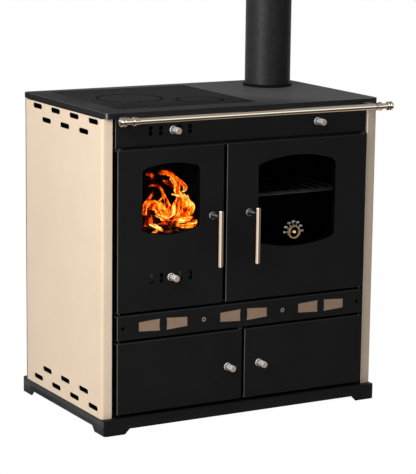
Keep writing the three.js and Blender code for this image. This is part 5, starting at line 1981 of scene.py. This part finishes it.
@dataclass
class Oven:
    """The oven box and the wire rack in it."""

    work: Workshop
    wires: int = 9
    frame_radius: float = 3.0
    bar_radius: float = 2.6
    wire_radius: float = 2.0
    front_bars: tuple[float, ...] = (3.0, 17.0, 31.0)
    rear_bar: float = 12.0

    def build(self) -> None:
        """Builds the oven's rack and dresses its box."""
        self.work.keep(DARK, "oven_box")
        box = Box.of("oven_rack")
        r = self.frame_radius
        x0, x1 = box.low.x + r, box.high.x - r
        y0, y1, z = box.low.y, box.high.y, box.middle.z
        rack = Shell("oven_rack_wires")
        for x in (x0, x1):
            rack.bar((x, y0, z), (x, y1, z), r)
        for y in (*(y0 + step for step in self.front_bars), y1 - self.rear_bar):
            rack.bar((x0, y, z), (x1, y, z), self.bar_radius, 12)
        for i in range(1, self.wires + 1):
            x = x0 + (x1 - x0) * i / (self.wires + 1)
            rack.bar((x, y0, z), (x, y1, z), self.wire_radius, 12)
        self.work.add(rack, "stove", RACK, ["oven_rack"])


@dataclass(frozen=True)
class Tongue:
    """One tongue of flame: its spine as X, Z and half width, its Y and its heat."""

    spine: tuple[Point3, ...]
    y: float
    heat: float


TONGUES = [Tongue(*row) for row in (
    (((-172, 546, 18), (-150, 560, 26), (-144, 576, 28), (-148, 592, 24), (-160, 606, 15), (-166, 622, 11),
      (-165, 640, 11), (-174, 658, 9), (-191, 670, 8), (-210, 673, 7), (-228, 676, 2)), -130, 0.9),
    (((-176, 552, 6), (-168, 570, 12), (-165, 588, 12), (-163, 602, 8), (-165, 610, 3)), -133, 0.92),
    (((-168, 612, 6), (-163, 626, 9), (-165, 641, 9), (-173, 656, 5)), -131, 0.86),
    (((-160, 652, 4), (-149, 638, 7), (-142, 627, 7), (-146, 619, 4), (-155, 617, 1)), -134, 0.86),
    (((-150, 609, 2), (-133, 593, 6), (-119, 574, 7), (-124, 557, 4), (-134, 545, 2)), -136, 0.98),
    (((-183, 552, 9), (-205, 567, 15), (-225, 583, 18), (-241, 587, 14), (-254, 576, 4)), -128, 0.84),
    (((-258, 560, 6), (-257, 586, 8), (-247, 602, 6), (-236, 613, 4), (-229, 627, 1)), -124, 0.76),
    (((-184, 560, 10), (-193, 580, 13), (-200, 602, 6), (-206, 613, 6), (-211, 627, 4), (-224, 638, 4),
      (-238, 641, 3), (-254, 637, 1)), -132, 0.78),
    (((-215, 609, 2), (-230, 593, 3), (-248, 577, 1)), -144, 1.05),
    (((-249, 666, 2), (-238, 668, 5), (-229, 661, 6), (-228, 651, 5), (-231, 643, 1)), -112, 0.48),
    (((-196, 648, 2), (-182, 641, 6), (-168, 636, 9), (-160, 632, 4)), -108, 0.42),
    (((-176, 535, 3), (-153, 527, 6), (-133, 529, 8), (-118, 534, 8), (-105, 536, 6), (-94, 550, 1)),
      -140, 0.82),
    (((-170, 541, 5), (-150, 542, 8), (-133, 545, 8), (-118, 548, 2)), -140, 0.86),
    (((-144, 521, 2), (-123, 523, 4), (-104, 521, 2)), -142, 0.85),
    (((-224, 560, 5), (-202, 552, 11), (-178, 549, 14), (-150, 552, 15), (-122, 552, 4)), -118, 0.82),
    (((-210, 554, 2), (-192, 560, 6), (-183, 571, 6), (-182, 587, 5), (-178, 597, 2)), -146, 1.3),
    (((-190, 616, 2), (-172, 612, 3), (-157, 606, 3), (-142, 592, 1)), -146, 1.2),
    (((-193, 660, 3), (-186, 652, 5), (-182, 638, 2)), -146, 1.15),
    (((-158, 620, 1), (-147, 624, 3), (-144, 632, 1)), -146, 1.2),
    (((-262, 583, 1), (-247, 599, 3), (-232, 602, 1)), -144, 1.1),
    (((-225, 578, 1), (-214, 567, 3), (-201, 563, 2)), -144, 1.2),
    (((-180, 548, 2), (-157, 546, 5), (-137, 547, 5), (-120, 549, 1)), -148, 1.2),
    (((-137, 532, 2), (-116, 535, 3), (-104, 543, 3), (-97, 552, 1)), -150, 1.2),
    (((-258, 542, 2), (-243, 536, 5), (-225, 526, 5), (-213, 517, 1)), -150, 1.3),
    (((-249, 517, 1), (-238, 521, 4), (-226, 524, 2)), -150, 1.2),
    (((-126, 519, 1), (-114, 522, 3), (-105, 523, 1)), -150, 1.2),
    (((-240, 516, 8), (-236, 545, 14), (-244, 580, 4)), -104, 0.46),
    (((-232, 517, 6), (-196, 521, 14), (-150, 519, 12), (-110, 517, 4)), -104, 0.42),
)]


@dataclass
class Fire:
    """The firebox with its fire: flames, burning logs and an ember bed."""

    work: Workshop
    bulge: float = 7.0
    steps: int = 10
    logs: tuple[tuple[Point3, Point3, float], ...] = (
        ((-312, -120, 505), (-98, -96, 512), 21), ((-300, -60, 512), (-110, -92, 538), 18),
        ((-318, -20, 508), (-100, -30, 514), 24), ((-270, 40, 512), (-120, 10, 540), 20),
    )
    bed: tuple[float, ...] = (-322.0, -98.0, -160.0, 120.0)
    grate: float = 479.6

    def build(self) -> None:
        """Builds the fire and dresses the firebox."""
        self.work.keep(RAW_IRON, "firebox_shell", "fire_grate")
        self.work.keep(CLAY, "firebrick_left", "firebrick_right", "firebrick_back")
        self.work.keep(INNER, "ash_pan")
        self.flames()
        self.embers()
        for i, (start, end, radius) in enumerate(self.logs):
            self.log(f"log_{i + 1}", start, end, radius)

    def spine(self, tongue: Tongue) -> list[Point3]:
        """Smooths a tongue's spine.

        Args:
            tongue: The tongue.

        Returns:
            Closer points, as X, Z and half width.
        """
        points = tongue.spine
        smooth = []
        for i in range(len(points) - 1):
            p = [Vector(points[max(0, min(len(points) - 1, i + k))]) for k in (-1, 0, 1, 2)]
            for j in range(self.steps):
                t = j / self.steps
                a = 2 * p[1] + (p[2] - p[0]) * t
                b = (2 * p[0] - 5 * p[1] + 4 * p[2] - p[3]) * t * t
                c = (3 * p[1] - p[0] - 3 * p[2] + p[3]) * t**3
                smooth.append(tuple((a + b + c) / 2))
        smooth.append(points[-1])
        return smooth

    def flames(self) -> None:
        """Builds each tongue of flame as a sheet that bulges forward."""
        across = (-1.0, -0.75, -0.5, -0.25, 0.0, 0.25, 0.5, 0.75, 1.0)
        for number, tongue in enumerate(TONGUES):
            spine = self.spine(tongue)
            vertices, faces, values = [], [], []
            for i, (x, z, half) in enumerate(spine):
                before, after = spine[max(i - 1, 0)], spine[min(i + 1, len(spine) - 1)]
                way = Vector((after[0] - before[0], after[1] - before[1])).normalized()
                side = Vector((way.y, -way.x))
                along = i / (len(spine) - 1)
                for u in across:
                    width = max(half, 0.4) * 1.25
                    y = tongue.y - self.bulge * (1 - u * u) * min(1.0, half / 10)
                    place = Vector((x + side.x * u * width, y, z + side.y * u * width))
                    vertices.append(place / METRE)
                    values.append((u, along, tongue.heat))
            count = len(across)
            for i in range(len(spine) - 1):
                for k in range(i * count, (i + 1) * count - 1):
                    faces.append((k, k + 1, k + count + 1, k + count))
            data = bpy.data.meshes.new(f"flame_{number + 1}")
            data.from_pydata([tuple(v) for v in vertices], [], faces)
            for name, pick in (("flow", (0, 1)), ("heat", (2, 2))):
                layer = data.uv_layers.new(name=name)
                for loop in data.loops:
                    layer.data[loop.index].uv = [values[loop.vertex_index][k] for k in pick]
            data.shade_smooth()
            made = placed(data.name, data)
            made.visible_shadow = made.visible_diffuse = made.visible_glossy = False
            self.work.add(made, "stove", FIRE)

    def embers(self) -> None:
        """Builds the lumpy bed of embers on the grate."""
        x0, x1, y0, y1 = self.bed
        columns, rows = 56, 66
        shell = Shell("ember_bed")
        top, foot = [], []
        for j in range(rows + 1):
            y = y0 + (y1 - y0) * j / rows
            line, flat = [], []
            for i in range(columns + 1):
                x = x0 + (x1 - x0) * i / columns
                fall = min(1.0, min(i, columns - i, j, rows - j) / 6)
                lump = noise.noise(Vector((x, y, 3.0)) / 17) + 0.5 * noise.noise(Vector((x, y, 9.0)) / 7)
                height = 2.0 + fall * (19 + 9 * lump)
                line.append(Vector((x, y, self.grate + max(height, 1.0))))
                flat.append(Vector((x, y, self.grate)))
            top.append(shell.ring(line))
            foot.append(shell.ring(flat))
        for rows_joined in (top, foot, (top[0], foot[0]), (top[-1], foot[-1])):
            shell.skin(rows_joined, False)
        for column in (0, columns):
            shell.bridge([r[column] for r in top], [r[column] for r in foot], False)
        self.work.add(shell, "stove", EMBERS, (), 180)

    def log(self, name: str, start: Point3, end: Point3, radius: float) -> None:
        """Builds one burning log.

        Args:
            name: The piece's name.
            start: One end's middle.
            end: The other end's middle.
            radius: Its mean radius.
        """
        a, b = Vector(start), Vector(end)
        way = (b - a).normalized()
        side = way.orthogonal().normalized()
        other = way.cross(side)
        rings, sides = 46, 40
        shell, rows = Shell(name), []
        for i in range(rings + 1):
            t = i / rings
            middle = a.lerp(b, t) + side * (3 * math.sin(5 * t + radius))
            taper = min(1.0, 0.72 + 6 * min(t, 1 - t))
            row = []
            for j in range(sides):
                angle = math.tau * j / sides
                out = side * math.cos(angle) + other * math.sin(angle)
                spot = middle + out * radius
                rough = noise.noise(spot / 11) * 2.2 + noise.noise(spot / 4.5) * 0.9
                row.append(middle + out * (radius * taper + rough))
            rows.append(shell.ring(row))
        shell.skin(rows)
        shell.fan(rows[0], a)
        shell.fan(rows[-1], b)
        self.work.add(shell, "stove", BARK, (), 180)


@dataclass
class Studio:
    """The pale floor, the soft light and the camera."""

    camera_place: Point3 = (-2.6616, -4.7218, 1.5145)
    azimuth: float = -29.469
    elevation: float = 11.022
    roll: float = 0.696
    lens: float = 151.69
    sensor: float = 36.0
    fill: float = 0.25

    def build(self) -> None:
        """Builds the studio."""
        bpy.context.scene.view_settings.view_transform = "Standard"
        self.camera()
        self.world()
        self.floor()
        self.lamp("key", (-1.95, -1.2, 1.9), (-0.3, 0.0, 0.6), 1.5, 50.0)
        self.lamp("front_fill", (-0.8, -3.4, 1.9), (0.0, 0.0, 0.6), 2.0, 8.0)

    def camera(self) -> None:
        """Builds the camera."""
        a, e, roll = (math.radians(v) for v in (self.azimuth, self.elevation, self.roll))
        back = Vector((math.sin(a) * math.cos(e), -math.cos(a) * math.cos(e), math.sin(e)))
        right = Vector((math.cos(a), math.sin(a), 0))
        up = back.cross(right)
        across = right * math.cos(roll) + up * math.sin(roll)
        upright = up * math.cos(roll) - right * math.sin(roll)
        data = bpy.data.cameras.new("camera")
        data.lens, data.sensor_width = self.lens, self.sensor
        data.clip_end = 100
        made = placed("camera", data)
        turn = Matrix((across, upright, back)).transposed().to_4x4()
        made.matrix_world = Matrix.Translation(self.camera_place) @ turn
        bpy.context.scene.camera = made
        LOG.info("camera placed")

    def world(self) -> None:
        """Builds a white surround for what is seen and mirrored, and a softer fill for the light."""
        world = bpy.data.worlds.new("studio")
        world.use_nodes = True
        nodes = Nodes(world.node_tree)
        bright, soft = nodes.node("ShaderNodeBackground"), nodes.node("ShaderNodeBackground")
        nodes.feed(bright.inputs["Color"], WHITE)
        nodes.feed(soft.inputs["Color"], WHITE)
        nodes.feed(soft.inputs["Strength"], self.fill)
        self.show(nodes, self.seen(nodes), soft, bright, "ShaderNodeOutputWorld")
        bpy.context.scene.world = world
        LOG.info("surround made")

    def seen(self, nodes: Nodes) -> Socket:
        """Adds the test for rays that show the background.

        Args:
            nodes: The nodes that it joins.

        Returns:
            1 for a ray from the camera, a mirror or glass, and otherwise 0.
        """
        rays = nodes.node("ShaderNodeLightPath").outputs
        first = nodes.calc("MAXIMUM", rays["Is Camera Ray"], rays["Is Glossy Ray"])
        return nodes.calc("MAXIMUM", first, rays["Is Transmission Ray"])

    def show(self, nodes: Nodes, share: Any, lit: Any, white: Any, kind: str) -> None:
        """Mixes what gives light with what is seen.

        Args:
            nodes: The nodes that it joins.
            share: The share of what is seen.
            lit: The node that light falls on or comes from.
            white: The node that is seen.
            kind: The output node's type.
        """
        mix, output = nodes.node("ShaderNodeMixShader"), nodes.node(kind)
        for source, target in ((share, 0), (lit.outputs[0], 1), (white.outputs[0], 2)):
            nodes.link(source, mix.inputs[target])
        nodes.link(mix.outputs["Shader"], output.inputs["Surface"])

    def floor(self) -> None:
        """Builds the floor, white where it is seen, with a faint shadow."""
        data = bpy.data.meshes.new("floor")
        r = 30.0
        data.from_pydata([(-r, -r, 0), (r, -r, 0), (r, r, 0), (-r, r, 0)], [], [(0, 1, 2, 3)])
        material = bpy.data.materials.new("floor_white")
        material.use_nodes = True
        nodes = Nodes(material.node_tree)
        matt, white = nodes.node("ShaderNodeBsdfDiffuse"), nodes.node("ShaderNodeEmission")
        nodes.feed(matt.inputs["Color"], (0.85, 0.85, 0.85))
        nodes.feed(white.inputs["Color"], WHITE)
        share = nodes.times(self.seen(nodes), 0.995)
        self.show(nodes, share, matt, white, "ShaderNodeOutputMaterial")
        data.materials.append(material)
        placed("floor", data)
        LOG.info("floor laid")

    def lamp(self, name: str, place: Point3, target: Point3, size: float, power: float) -> None:
        """Builds a soft square lamp.

        Args:
            name: Its name.
            place: Where it stands, in metres.
            target: Where it points, in metres.
            size: Its side in metres.
            power: Its power in watts.
        """
        data = bpy.data.lights.new(name, "AREA")
        data.size, data.energy = size, power
        made = placed(name, data)
        way = Vector(place) - Vector(target)
        made.matrix_world = Matrix.Translation(place) @ way.to_track_quat("Z", "Y").to_matrix().to_4x4()
        LOG.info("lamp %s lit", name)


def main() -> None:
    """Builds every sub-assembly on the frame."""
    logging.basicConfig(level=logging.INFO, format="%(name)s: %(message)s")
    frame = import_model()
    work = Workshop(frame["nodes"])
    for part in (Casing, Front, Hob, Flue, Rail):
        part(work).build()
    UpperDoor(work, "fire_door", (72.5, 212, 40, 13), 13, GLASS, Slots()).build()
    UpperDoor(work, "oven_door", (97, 154, 42.5, 20), 18, OVEN_GLASS).build()
    work.keep(DARK, "fire_air_shutter", "flue_chamber")
    work.keep(INNER, "damper_rod")
    for side in Side:
        LowerDoor(work, side).build()
    Knob(work).build("fire_air_knob", "fire_air_slider")
    Knob(work).build("top_air_knob", "top_air_slider")
    Knob(work).build_pull()
    for door in ("fire", "oven"):
        Lever(work).build(door)
    for part in (Thermometer, Oven, Fire):
        part(work).build()
    Studio().build()
    LOG.info("%d new pieces", len(work.made))


if __name__ == "__main__":
    main()
